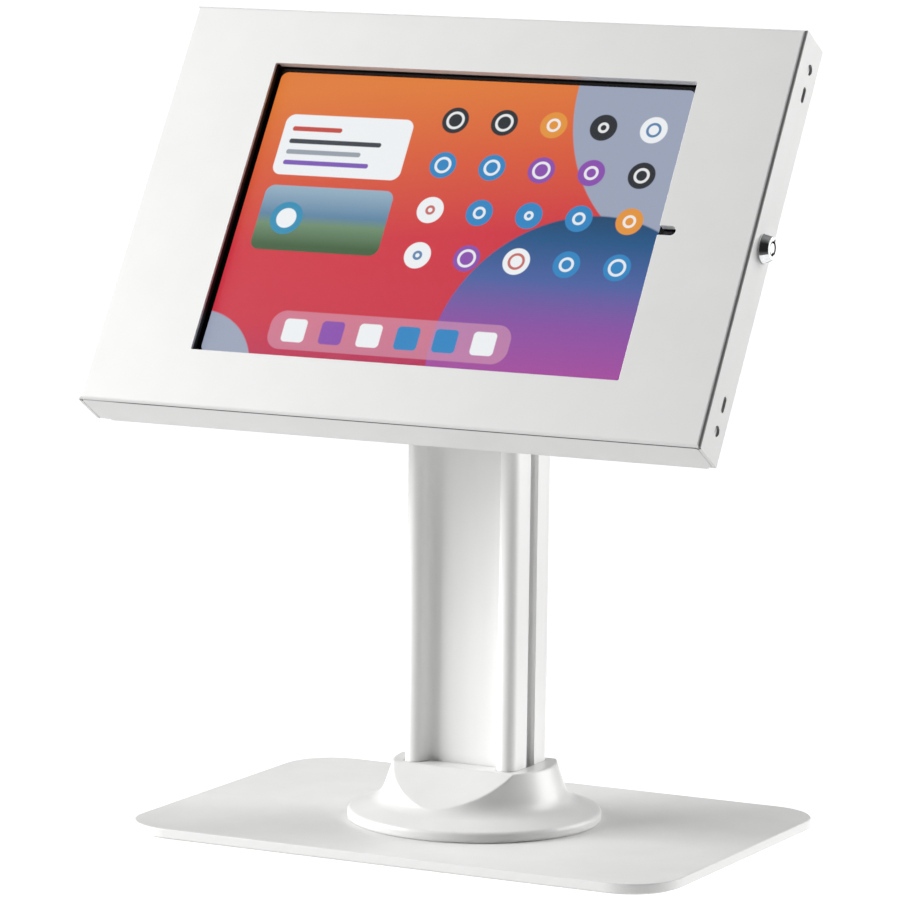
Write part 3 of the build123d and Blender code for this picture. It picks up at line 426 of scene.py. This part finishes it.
def blackLipAndLeftShade(tree, colour):
    # the liner's lip round the window is painted black at the rear of each wall; on the left wall the black
    # covers the whole wall, as painted shade
    place = facePosition(tree)
    parts = addNode(tree, "SeparateXYZ", {"Vector": place})
    lip = insideTile(tree, place, liner["centre"], liner["half"], liner["corner"], liner["soft"])
    begin, full = liner["blackBehind"]
    rear = addNode(tree, "MapRange", {"Value": parts.outputs["Z"], "From Min": liner["front"] - begin,
                                      "From Max": liner["front"] - full})
    wall = liner["centre"][0] - liner["half"][0] + liner["leftWall"]
    # painted shade: the whole left wall is black
    left = addNode(tree, "MapRange", {"Value": parts.outputs["X"], "From Min": wall + liner["leftSoft"],
                                      "From Max": wall - liner["leftSoft"]})
    either = addNode(tree, "Math", {"operation": "MAXIMUM", 0: rear, 1: left})
    return coatOver(tree, colour, liner["lip"], overlap(tree, lip, either))


# finishes; sizes are in millimetres, cloud is the wandering of the colour, gloss is (smooth, rough, size)
looks = {
    # powder coat on steel: an even satin skin with a fine orange peel
    "finePowderCoat": {
        "shades": ("#EAEAE9", "#EDEDEC"), "cloud": {"size": 30, "detail": 3}, "gloss": (0.35, 0.41, 12),
        "marks": {"size": 0.9}, "relief": {"depth": 0.02, "strength": 0.5, "edge": 0.35},
        "shader": {"IOR": 1.5}},
    # the back plate's coat is a trace darker and duller
    "rearPowderCoat": {
        "shades": ("#E8E8E7", "#ECECEB"), "cloud": {"size": 30, "detail": 3}, "gloss": (0.37, 0.43, 12),
        "marks": {"size": 0.9}, "relief": {"depth": 0.02, "strength": 0.5, "edge": 0.3},
        "shader": {"IOR": 1.5}},
    # the base plate's coat is a little greyer and duller
    "satinPowderCoat": {
        "shades": ("#DDDDDC", "#E2E2E1"), "cloud": {"size": 30, "detail": 3}, "gloss": (0.47, 0.53, 12),
        "marks": {"size": 0.9}, "relief": {"depth": 0.02, "strength": 0.5, "edge": 0.3},
        "shader": {"IOR": 1.5}},
    # textured coat on the hidden steel: greyer, with a tighter peel
    "texturedPowderCoat": {
        "shades": ("#CFCFCE", "#D9D9D8"), "cloud": {"size": 30, "detail": 3}, "gloss": (0.47, 0.53, 12),
        "marks": {"size": 0.6}, "relief": {"depth": 0.02, "strength": 0.5, "edge": 0.3},
        "shader": {"IOR": 1.5}},
    # powder coat on an aluminium extrusion: faint die lines run up the column
    "powderCoatedExtrusion": {
        "shades": ("#EEEEED", "#F3F3F2"), "cloud": {"size": 20, "detail": 3, "stretch": (1, 1, 0.1)},
        "marks": {"size": 0.8, "detail": 3, "stretch": (1, 1, 0.01)},
        "relief": {"depth": 0.02, "strength": 0.35}, "shader": {"IOR": 1.5, "Roughness": 0.3}},
    # injection moulded ABS: even colour, with a very slight skin texture, coarser than real so that it shows;
    # the glossy collar has soft edges
    "glossMouldedAbs": {
        "shades": ("#E1E1E0", "#E5E5E4"), "cloud": {"size": 25}, "marks": {"size": 1.2},
        "relief": {"depth": 0.01, "strength": 0.4, "edge": 1.8}, "shader": {"IOR": 1.53, "Roughness": 0.28}},
    "whiteMouldedAbs": {
        "shades": ("#DEDEDD", "#E4E4E3"), "cloud": {"size": 25}, "marks": {"size": 0.8},
        "relief": {"depth": 0.02, "strength": 0.4, "edge": 0.25}, "shader": {"IOR": 1.53, "Roughness": 0.5}},
    "blackMouldedAbs": {
        "shades": ("#202022", "#2A2A2C"), "cloud": {"size": 25}, "marks": {"size": 0.6},
        "relief": {"depth": 0.03, "strength": 0.4, "edge": 0.25}, "shader": {"IOR": 1.53, "Roughness": 0.45}},
    # EVA sheet under the base plate: matt, and pale so that its edge does not show on a white desk
    "paleEvaSheet": {
        "shades": ("#D6D6D3", "#E6E6E4"), "cloud": {"size": 1.2, "detail": 3}, "marks": {"size": 0.5},
        "relief": {"depth": 0.05, "strength": 0.5}, "shader": {"IOR": 1.48, "Roughness": 0.8}},
    # calendered black rubber: matt, with a fine pebble
    "calenderedRubber": {
        "shades": ("#141414", "#262626"), "cloud": {"size": 1.5, "detail": 3}, "marks": {"size": 0.7},
        "relief": {"depth": 0.05, "strength": 0.6}, "shader": {"IOR": 1.52, "Roughness": 0.75}},
    # bright zinc plated steel: cool grey metal with cloudy spangle and fine streaks
    "zincPlatedSteel": {
        "shades": ("#A9ACAE", "#C9CCCE"), "cloud": {"size": 3, "detail": 4}, "gloss": (0.24, 0.42, 1.2),
        "marks": {"size": 0.5}, "relief": {"depth": 0.01, "strength": 0.4, "edge": 0.15},
        "shader": {"Metallic": 1.0}},
    # chrome on die cast zinc: a near mirror with faint polishing swirls
    "polishedChrome": {
        "shades": ("#D9DBDD", "#EDEEEF"), "cloud": {"size": 2, "detail": 3}, "gloss": (0.04, 0.1, 0.6),
        "marks": {"size": 1.5}, "relief": {"depth": 0.003, "strength": 0.3, "edge": 0.12},
        "shader": {"Metallic": 1.0}},
    # bead blasted and anodised aluminium: silver with a sparkling grain, coarser than real so that it shows
    "blastedAluminium": {
        "shades": ("#B4B6BA", "#C6C8CC"), "cloud": {"size": 0.4}, "marks": {"size": 0.35},
        "relief": {"depth": 0.012, "strength": 0.5, "edge": 0.2},
        "shader": {"Metallic": 1.0, "Roughness": 0.36}},
    # machined nylon: milky, with faint turning marks
    "machinedNylon": {
        "shades": ("#DAD6CA", "#E8E5DB"), "cloud": {"size": 4},
        "marks": {"size": 0.3, "stretch": (1, 0.2, 1)},
        "relief": {"depth": 0.01, "strength": 0.4, "edge": 0.15},
        "shader": {"IOR": 1.53, "Roughness": 0.45, "Subsurface Weight": 0.08,
                   "Subsurface Radius": (0.002, 0.0018, 0.0014)}},
    # black film round the battery cells: slightly wrinkled, satin
    "laminatedFilm": {
        "shades": ("#161618", "#232326"), "cloud": {"size": 10, "detail": 3},
        "marks": {"size": 6, "detail": 4, "stretch": (1, 0.3, 1)}, "relief": {"depth": 0.1, "strength": 0.5},
        "shader": {"Roughness": 0.35}},
    # dark multicoated lens with a violet cast
    "multicoatedLens": {
        "shades": ("#050509", "#0D0B18"), "cloud": {"size": 1.5, "detail": 1},
        "shader": {"Roughness": 0.04, "IOR": 1.6, "Coat Weight": 1.0, "Coat Roughness": 0.02}},
}

seatPad = {"cell": 0.8, "stops": ((0.0, "#2B2B2D"), (0.6, "#404043")), "depth": 0.2, "strength": 0.5,
           "shader": {"IOR": 1.45, "Roughness": 0.9, "Sheen Weight": 0.15}}
board = {"grid": 2, "mortar": 0.08, "mask": ("#0F5236", "#136341"), "copper": "#1F7C55",
         "shader": {"Roughness": 0.3, "IOR": 1.5}}


def closedCellFoam():
    # closed cell foam: dark grey with fine open pores at the cut faces
    material, tree = newMaterial("closedCellFoam")
    point = addNode(tree, "TexCoord").outputs["Object"]
    scaled = addNode(tree, "Mapping", {"Vector": point, "Scale": [1 / (seatPad["cell"] * mm)] * 3})
    cells = addNode(tree, "TexVoronoi", {"Vector": scaled, "Scale": 1.0}).outputs["Distance"]
    colour = addNode(tree, "ValToRGB", {"Fac": cells, "stops": seatPad["stops"]})
    pores = relief(tree, cells, seatPad["depth"], seatPad["strength"])
    skin = addNode(tree, "BsdfPrincipled", {"Base Color": colour, "Normal": pores, **seatPad["shader"]})
    addNode(tree, "OutputMaterial", {"Surface": skin})
    return material


def solderMask():
    # green solder mask over copper traces
    material, tree = newMaterial("solderMask")
    point = addNode(tree, "TexCoord").outputs["Object"]
    scaled = addNode(tree, "Mapping", {"Vector": point, "Scale": [1 / (board["grid"] * mm)] * 3})
    tracks = addNode(tree, "TexBrick", {"Vector": scaled, "Scale": 1.0, "Mortar Size": board["mortar"],
                                        "Color1": board["mask"][0], "Color2": board["mask"][1],
                                        "Mortar": board["copper"]})
    skin = addNode(tree, "BsdfPrincipled", {"Base Color": tracks, **board["shader"]})
    addNode(tree, "OutputMaterial", {"Surface": skin})
    return material


# display and its glass; places are millimetres from the middle of the enclosure
topBezel = 0.7  # so much of the display's top edge lies under the glass's printed border
acrossSpan, (foot, head) = (span("tablet_display", axis) for axis in (faceRight, faceUp))
spans = (acrossSpan, (foot, head - topBezel))
display = {
    "centre": [(low + high) / 2 for low, high in spans],
    "half": [(high - low) / 2 for low, high in spans],
    "corner": 4.0, "soft": 0.1,
}
glass = {"tint": "#FCFDFD", "roughness": 0.02, "ior": 1.5,
         "ink": ("#050506", "#0A0A0B"), "inkRoughness": 0.06, "inkSpeck": 0.5}
screen = {
    "backdrop": ((0.0, "#B92A58"), (0.18, "#D02E44"), (0.45, "#D43140"), (0.72, "#DE5B36"), (1.0, "#E67D34")),
    "slant": -0.12,
    "haze": "#9FA6BC", "hazeDiscs": (((150, 78), 96), ((-118, -92), 36)), "hazeSoft": 0.4,
    "hill": ((0.0, "#A8499F"), (0.3, "#8A4FA5"), (0.55, "#4C62A4"), (0.8, "#1A5588"), (1.0, "#0D3F62")),
    "hillTop": 12, "hillCentre": (86, -66), "hillRadius": 74, "hillSoft": 0.5,
    # a card with bars; a bar is (up from the card's middle, half its length, colour)
    "paper": "#F5F6F8", "cardCentre": (-66, 38), "cardHalf": (36, 17), "cardCorner": 5,
    "bars": ((9, 14, "#C9483E"), (2, 26, "#3A3F47"), (-4, 21, "#9AA1AC"), (-10, 24, "#7E58B8")),
    "barStart": -97, "barHalf": 1.3, "barCorner": 1.2,
    # a card with a sea-coloured fade and a disc
    "seaCentre": (-66, -3), "seaHalf": (36, 18), "seaFade": (-18, 16),
    "sea": ((0.0, "#3F5F3A"), (0.35, "#6F8F6E"), (0.5, "#5E86A6"), (1.0, "#9DB6C9")),
    "discCentre": (-86, -3), "disc": "#2C8FB8", "discRadii": (9, 5.5),
    # round buttons with rings, and the bar with plain tiles at the foot
    "tiles": ((0.0, "#F4F5F7"), (0.2, "#2F9E58"), (0.36, "#25282E"), (0.52, "#2C86C4"), (0.66, "#E8963A"),
              (0.8, "#F4F5F7"), (0.92, "#8C4DB0")),
    "rings": ((0.0, "#C4473C"), (0.2, "#F7F7F7"), (0.8, "#2C6FA8"), (0.92, "#F7F7F7")),
    "buttons": {"first": (-8, -19), "pitch": (27, 25), "count": (5, 4), "half": 7.2, "corner": 7.2},
    "fieldCorner": 0.1, "fieldSoft": 0.01,
    "ringSpread": 7.0, "ringShares": (0.35, 0.25), "ringEdge": (0.9, 0.5), "ringOpacity": 0.9,
    "dock": "#D99BB5", "dockShift": -14, "dockUp": -64, "dockHalf": (66, 10.5), "dockCorner": 8,
    "dockOpacity": 0.55, "dockFirst": -52,
    "dockTiles": {"pitch": (20.8, 21), "count": (6, 1), "half": 6.3, "corner": 2.2},
    "shader": {"Base Color": "#0A0A0C", "Roughness": 0.35, "Specular IOR Level": 0.2,
               "Emission Strength": 1.0},
}


def tileGrid(tree, place, colour, first, pitch, count, half, corner, marked=True):
    # a field of plain buttons, each with its own colour and a simple ring
    start = (first[0] - pitch[0] / 2, first[1] - pitch[1] / 2, 0)
    offset = addNode(tree, "VectorMath", {"operation": "SUBTRACT", 0: place, 1: start})
    cells = addNode(tree, "VectorMath", {"operation": "DIVIDE", 0: offset, 1: (*pitch, 1)})
    cell = addNode(tree, "VectorMath", {"operation": "FLOOR", 0: cells})
    within = addNode(tree, "VectorMath", {"operation": "FRACTION", 0: cells})
    middle = addNode(tree, "VectorMath", {"operation": "SUBTRACT", 0: within, 1: (0.5, 0.5, 0)})
    local = addNode(tree, "VectorMath", {"operation": "MULTIPLY", 0: middle, 1: (*pitch, 0)})
    centre = [first[side] + pitch[side] * (count[side] - 1) / 2 for side in (0, 1)]
    reach = [pitch[side] * count[side] / 2 for side in (0, 1)]
    field = insideTile(tree, place, centre, reach, screen["fieldCorner"], screen["fieldSoft"])
    chance = addNode(tree, "TexWhiteNoise", {"noise_dimensions": "2D", "Vector": cell})
    body = addNode(tree, "ValToRGB", {"Fac": chance, "bands": screen["tiles"]})
    shape = overlap(tree, insideTile(tree, local, (0, 0), (half, half), corner), field)
    colour = coatOver(tree, colour, body, shape)
    if not marked:
        return colour
    # the cell's number sets the radius of its ring
    away = addNode(tree, "VectorMath", {"operation": "LENGTH", 0: local}).outputs["Value"]
    spread = addNode(tree, "Math", {"operation": "MULTIPLY", 0: chance, 1: screen["ringSpread"]})
    part = addNode(tree, "Math", {"operation": "FRACT", 0: spread})
    wanted = addNode(tree, "Math", {"operation": "MULTIPLY_ADD", 0: part, 1: half * screen["ringShares"][0],
                                    2: half * screen["ringShares"][1]})
    off = addNode(tree, "Math", {"operation": "SUBTRACT", 0: away, 1: wanted})
    off = addNode(tree, "Math", {"operation": "ABSOLUTE", 0: off})
    ring = addNode(tree, "MapRange", {"Value": off, "From Min": screen["ringEdge"][0],
                                      "From Max": screen["ringEdge"][1]})
    pale = addNode(tree, "ValToRGB", {"Fac": chance, "bands": screen["rings"]})
    return coatOver(tree, colour, pale, overlap(tree, ring, field), screen["ringOpacity"])


def litDisplay():
    # lit panel under the glass: a made-up start screen of plain discs, cards and round buttons
    material, tree = newMaterial("litDisplayPanel")
    place = facePosition(tree)
    parts = addNode(tree, "SeparateXYZ", {"Vector": place})
    across, up = parts.outputs["X"], parts.outputs["Y"]
    halfHigh = display["half"][1]
    slant = addNode(tree, "Math", {"operation": "MULTIPLY_ADD", 0: across, 1: screen["slant"], 2: up})
    rise = addNode(tree, "MapRange", {"Value": slant, "From Min": -halfHigh, "From Max": halfHigh})
    colour = addNode(tree, "ValToRGB", {"Fac": rise, "stops": screen["backdrop"]})
    for centre, radius in screen["hazeDiscs"]:
        disc = insideDisc(tree, place, centre, radius, screen["hazeSoft"])
        colour = coatOver(tree, colour, screen["haze"], disc)
    rise = addNode(tree, "MapRange", {"Value": up, "From Min": -halfHigh, "From Max": screen["hillTop"]})
    hill = addNode(tree, "ValToRGB", {"Fac": rise, "stops": screen["hill"]})
    disc = insideDisc(tree, place, screen["hillCentre"], screen["hillRadius"], screen["hillSoft"])
    colour = coatOver(tree, colour, hill, disc)
    card = insideTile(tree, place, screen["cardCentre"], screen["cardHalf"], screen["cardCorner"])
    colour = coatOver(tree, colour, screen["paper"], card)
    for offset, length, tone in screen["bars"]:
        middle = (screen["barStart"] + length, screen["cardCentre"][1] + offset)
        bar = insideTile(tree, place, middle, (length, screen["barHalf"]), screen["barCorner"])
        colour = coatOver(tree, colour, tone, bar)
    low, high = screen["seaFade"]
    rise = addNode(tree, "MapRange", {"Value": up, "From Min": low, "From Max": high})
    sea = addNode(tree, "ValToRGB", {"Fac": rise, "stops": screen["sea"]})
    card = insideTile(tree, place, screen["seaCentre"], screen["seaHalf"], screen["cardCorner"])
    colour = coatOver(tree, colour, sea, card)
    for tone, radius in zip((screen["disc"], screen["paper"]), screen["discRadii"]):
        colour = coatOver(tree, colour, tone, insideDisc(tree, place, screen["discCentre"], radius))
    colour = tileGrid(tree, place, colour, **screen["buttons"])
    middle = display["centre"][0] + screen["dockShift"]
    dock = insideTile(tree, place, (middle, screen["dockUp"]), screen["dockHalf"], screen["dockCorner"])
    colour = coatOver(tree, colour, screen["dock"], dock, screen["dockOpacity"])
    colour = tileGrid(tree, place, colour, (middle + screen["dockFirst"], screen["dockUp"]), marked=False,
                      **screen["dockTiles"])
    panel = addNode(tree, "BsdfPrincipled", {"Emission Color": colour, **screen["shader"]})
    addNode(tree, "OutputMaterial", {"Surface": panel})
    return material


def coverGlass():
    # clear cover glass with a black printed border round the display
    material, tree = newMaterial("printedCoverGlass")
    clear = addNode(tree, "BsdfTransparent", {"Color": glass["tint"]})
    shine = addNode(tree, "BsdfGlossy", {"Roughness": glass["roughness"]})
    edge = addNode(tree, "Fresnel", {"IOR": glass["ior"]})
    # only the outer face shines: seen from inside, the pane would turn to a mirror
    rear = addNode(tree, "NewGeometry").outputs["Backfacing"]
    front = addNode(tree, "Math", {"operation": "SUBTRACT", 0: 1.0, 1: rear})
    pane = addNode(tree, "MixShader", {0: overlap(tree, edge, front), 1: clear, 2: shine})
    point = addNode(tree, "TexCoord").outputs["Object"]
    speck = cloudy(tree, point, glass["ink"], size=glass["inkSpeck"])
    ink = addNode(tree, "BsdfPrincipled", {"Base Color": speck, "Roughness": glass["inkRoughness"],
                                           "IOR": glass["ior"]})
    seen = insideTile(tree, facePosition(tree), display["centre"], display["half"], display["corner"],
                      display["soft"])
    both = addNode(tree, "MixShader", {0: seen, 1: ink, 2: pane})
    addNode(tree, "OutputMaterial", {"Surface": both})
    return material


def fromTable(name, touchUp=None):
    return makeFinish(name, looks[name], touchUp)


# the touch-ups on the back plate, base plate, front cover and window liner paint shade into the colour
finishes = {
    "back_plate": fromTable("rearPowderCoat", deepShade),
    "base_plate": fromTable("satinPowderCoat", paintedRimShade),
    "column": fromTable("powderCoatedExtrusion"),
    "front_cover": fromTable("finePowderCoat", paintedSheetShade),
    "base_collar": fromTable("glossMouldedAbs"),
    "window_liner": fromTable("whiteMouldedAbs", blackLipAndLeftShade),
    "base_mat": fromTable("paleEvaSheet"),
    "cable_grommet": fromTable("calenderedRubber"),
    "head_yoke": fromTable("texturedPowderCoat"),
    "base_screws": fromTable("zincPlatedSteel"),
    "friction_disc": fromTable("machinedNylon"),
    "lock_housing": fromTable("polishedChrome"),
    "corner_seats": fromTable("blackMouldedAbs"),
    "seat_pads": closedCellFoam(),
    "tablet_shell": fromTable("blastedAluminium"),
    "tablet_battery": fromTable("laminatedFilm"),
    "tablet_board": solderMask(),
    "camera_lens": fromTable("multicoatedLens"),
    "tablet_display": litDisplay(),
    "tablet_glass": coverGlass(),
}
alike = {
    "head_yoke": ["tilt_bracket", "hub_plate", "catch_bracket"],
    "base_screws": ["yoke_screws", "pivot_bolt", "pivot_nut", "pivot_washers", "pivot_spacer", "stop_pin",
                    "hub_screws", "rotation_bolt", "rotation_washer", "rotation_nut", "hinge_fixed_leaf",
                    "hinge_cover_leaf", "hinge_pin", "seat_screws", "lock_nut", "lock_cam", "cam_screw"],
    "friction_disc": ["friction_washers"],
    "lock_housing": ["lock_plug"],
    "tablet_shell": ["power_button", "volume_up_button", "volume_down_button"],
}
for leader, material in finishes.items():
    paint([leader] + alike.get(leader, []), material)
print("finishes on", sum(bool(node.data.materials) for node in nodes.values()), "nodes")


# turned fasteners; sizes are in millimetres
turning = {"steps": 96, "sharpDegrees": 32, "ringsPerTurn": 8, "roundDegrees": (0, 30, 60, 90)}
steel = finishes["base_screws"]
nylon = finishes["friction_disc"]


def hexRadius(across):
    # distance to the flats by angle, with a corner at angle 0
    def radius(angle):
        return across / 2 / math.cos(angle % (math.pi / 3) - math.pi / 6)
    return radius


def knurlRadius(outer, depth, count):
    def radius(angle):
        return outer - depth * (0.5 - 0.5 * math.cos(count * angle))
    return radius


def threadRadius(along, outer, depth, pitch):
    def radius(angle):
        return outer - depth * abs(2 * ((along / pitch - angle / (2 * math.pi)) % 1) - 1)
    return radius


def threadRings(start, end, radius, depth, pitch):
    # the helix is cut in several rings for each turn
    count = round(turning["ringsPerTurn"] * (end - start) / pitch)
    places = [start + (end - start) * step / count for step in range(count + 1)]
    return [(along, threadRadius(along, radius, depth, pitch)) for along in places]


def roundedRings(along, radius, edge, direction):
    # a quarter round from the flat end face over to the side
    rings = []
    for turn in map(math.radians, turning["roundDegrees"]):
        rings.append((along + direction * edge * (1 - math.cos(turn)), radius - edge * (1 - math.sin(turn))))
    return rings


def turnedPiece(name, body, material, replaced, place, rings, steps=turning["steps"], bored=False):
    # place is (origin, axis, direction of angle 0); a ring is (along, radius) in millimetres,
    # and either of the two may be a function of the angle
    origin, axis, first = place
    second = axis.cross(first)
    mesh = bpy.data.meshes.new(name)
    shape = bmesh.new()
    loops = []
    for along, radius in rings:
        loop = []
        for step in range(steps):
            angle = 2 * math.pi * step / steps
            rise = along(angle) if callable(along) else along
            out = radius(angle) if callable(radius) else radius
            spoke = first * math.cos(angle) + second * math.sin(angle)
            loop.append(shape.verts.new(origin + (axis * rise + spoke * out) * mm))
        loops.append(loop)
    for near, far in zip(loops, loops[1:] + (loops[:1] if bored else [])):
        for step in range(steps):
            beside = (step + 1) % steps
            shape.faces.new((near[step], near[beside], far[beside], far[step]))
    if not bored:
        shape.faces.new(loops[0])
        shape.faces.new(loops[-1])
    bmesh.ops.recalc_face_normals(shape, faces=shape.faces)
    shape.to_mesh(mesh)
    shape.free()
    mesh.shade_smooth()
    mesh.set_sharp_from_angle(angle=math.radians(turning["sharpDegrees"]))
    mesh.materials.append(material)
    piece = bpy.data.objects.new(name, mesh)
    bpy.context.scene.collection.objects.link(piece)
    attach(piece, body)
    if replaced:
        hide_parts(replaced)


pivotPlace = (Vector(joints["tilt"]["pos_m"]), Vector((1, 0, 0)), Vector((0, 1, 0)))
axlePlace = (faceCentre, faceNormal, faceRight)
lockPlace = (Vector(joints["lock_turn"]["pos_m"]), Vector((1, 0, 0)), faceUp)

pivotBolt = {
    "headHeight": 8, "headRound": 1.0, "socketAcross": 6, "socketDepth": 4, "shank": 4.0,
    "drill": 2.6, "drillDepth": 1.2, "drillTip": 0.2, "mouth": 3.7, "mouthDepth": 0.5,
    "knurls": 48, "knurlDepth": 0.25, "knurlTop": 1.4, "knurlFoot": 0.8, "headChamfer": 0.5,
    "neck": 4.4, "neckLength": 0.4, "runout": 0.3, "steps": 192,
    "threadPitch": 1.25, "threadDepth": 0.65, "threadLength": 11, "endChamfer": 0.8,
}


def makePivotBolt():
    # M8 cap screw: knurled head, hexagon socket with a drilled floor, rolled thread
    size = pivotBolt
    low, high = span("pivot_bolt", pivotPlace[1], pivotPlace[0])
    radius = span("pivot_bolt", Vector((0, 0, 1)), pivotPlace[0])[1]
    seat, socketFloor = low + size["headHeight"], low + size["socketDepth"]
    socket = hexRadius(size["socketAcross"])
    knurl = knurlRadius(radius, size["knurlDepth"], size["knurls"])
    rings = [(socketFloor + size["drillDepth"], size["drillTip"]), (socketFloor, size["drill"]),
             (socketFloor, socket), (low + size["mouthDepth"], socket), (low, size["mouth"])]
    rings += roundedRings(low, radius, size["headRound"], 1)
    rings += [(low + size["knurlTop"], knurl), (seat - size["knurlFoot"], knurl),
              (seat - size["headChamfer"], radius), (seat, radius - size["headChamfer"]),
              (seat, size["neck"])]
    start, end = high - size["threadLength"], high - size["endChamfer"]
    rings += [(seat + size["neckLength"], size["shank"]), (start - size["runout"], size["shank"])]
    rings += threadRings(start, end, size["shank"], size["threadDepth"], size["threadPitch"])
    rings += [(high, size["shank"] - size["endChamfer"])]
    turnedPiece("pivotBolt", "stand", steel, "pivot_bolt", pivotPlace, rings, size["steps"])


axleBolt = {
    "headHeight": 2.5, "headRound": 1.6, "socketAcross": 6, "socketDepth": 1.8, "mouth": 3.6,
    "mouthDepth": 0.3, "shank": 4.95, "runout": 0.3, "threadPitch": 1.5, "threadDepth": 0.8,
    "threadLength": 11, "endChamfer": 1.0,
}


def makeAxleBolt():
    # low button head inside the enclosure, thread end at the back
    size = axleBolt
    low, high = span("rotation_bolt", axlePlace[1], axlePlace[0])
    radius = span("rotation_bolt", faceRight)[1]
    seat = high - size["headHeight"]
    socket = hexRadius(size["socketAcross"])
    rings = [(high - size["socketDepth"], socket), (high - size["mouthDepth"], socket), (high, size["mouth"])]
    rings += roundedRings(high, radius, size["headRound"], -1)
    rings += [(seat, radius), (seat, size["shank"])]
    start, end = low + size["endChamfer"], low + size["threadLength"]
    thread = threadRings(start, end, size["shank"], size["threadDepth"], size["threadPitch"])
    rings += [(end + size["runout"], size["shank"])] + thread[::-1]
    rings += [(low, size["shank"] - size["endChamfer"])]
    turnedPiece("axleBolt", "enclosure", steel, "rotation_bolt", axlePlace, rings)


hexEnd = {"flatShare": 0.95, "slope": math.tan(math.radians(30))}


def hexRings(start, end, across):
    # both ends of the hexagon are turned down to a circle
    corner = hexRadius(across)
    flat = hexEnd["flatShare"] * across / 2
    side = 1 if end > start else -1

    def near(angle):
        return start + side * hexEnd["slope"] * (corner(angle) - flat)

    def far(angle):
        return end - side * hexEnd["slope"] * (corner(angle) - flat)
    return [(start, flat), (near, corner), (far, corner), (end, flat)]


lockingNuts = {
    # node: (piece, body, place, axis sign of the crowned end, across flats, bore radius)
    "pivot_nut": ("pivotNut", "stand", pivotPlace, 1, 13, 4.05),
    "rotation_nut": ("axleNut", "enclosure", axlePlace, -1, 17, 5.0),
}
crown = {"heightShare": 0.3, "radiusShare": 0.86, "round": 0.9, "step": 0.3, "flare": 0.2, "groove": 0.2,
         "lip": 0.7, "lipHeight": 0.5, "undercut": 0.1, "chamfer": 0.6}
nylonRing = {"top": 0.6, "crest": 0.4, "crestInset": 0.3, "boreTop": 0.7}


def makeLockingNut(node):
    # locking nut: hexagon, round crown and a nylon ring held under its lip
    name, body, place, side, across, bore = lockingNuts[node]
    reach = span(node, place[1], place[0])
    seat, top = reach if side > 0 else reach[::-1]
    shoulder = top - side * crown["heightShare"] * abs(top - seat)
    outer = crown["radiusShare"] * across / 2
    inner = outer - crown["lip"]
    groove = shoulder + side * crown["groove"]
    rings = hexRings(seat, shoulder, across)
    rings += [(shoulder, outer + crown["flare"]), (shoulder + side * crown["step"], outer)]
    rings += roundedRings(top, outer, crown["round"], -side)[::-1]
    rings += [(top, inner), (top - side * crown["lipHeight"], inner + crown["undercut"]),
              (groove, inner + crown["undercut"]), (groove, bore)]
    rings += [(seat + side * crown["chamfer"], bore), (seat, bore + crown["chamfer"])]
    turnedPiece(name, body, steel, node, place, rings, bored=True)
    crest = top - side * nylonRing["crest"]
    inset = nylonRing["crestInset"]
    rings = [(groove, inner), (top - side * nylonRing["top"], inner), (crest, inner - inset),
             (crest, bore + inset), (top - side * nylonRing["boreTop"], bore), (groove, bore)]
    turnedPiece(name + "Ring", body, nylon, None, place, rings, bored=True)


thinNut = {"across": 14, "bore": 5.55, "chamfer": 0.4}


def makeThinNut():
    # the flat nut behind the cover's side wall
    low, high = span("lock_nut", lockPlace[1], lockPlace[0])
    bore, chamfer = thinNut["bore"], thinNut["chamfer"]
    rings = hexRings(low, high, thinNut["across"])
    rings += [(high, bore + chamfer), (high - chamfer, bore), (low + chamfer, bore), (low, bore + chamfer)]
    turnedPiece("thinNut", "cover", steel, "lock_nut", lockPlace, rings, bored=True)


makePivotBolt()
makeAxleBolt()
for node in lockingNuts:
    makeLockingNut(node)
makeThinNut()
print("fasteners turned")
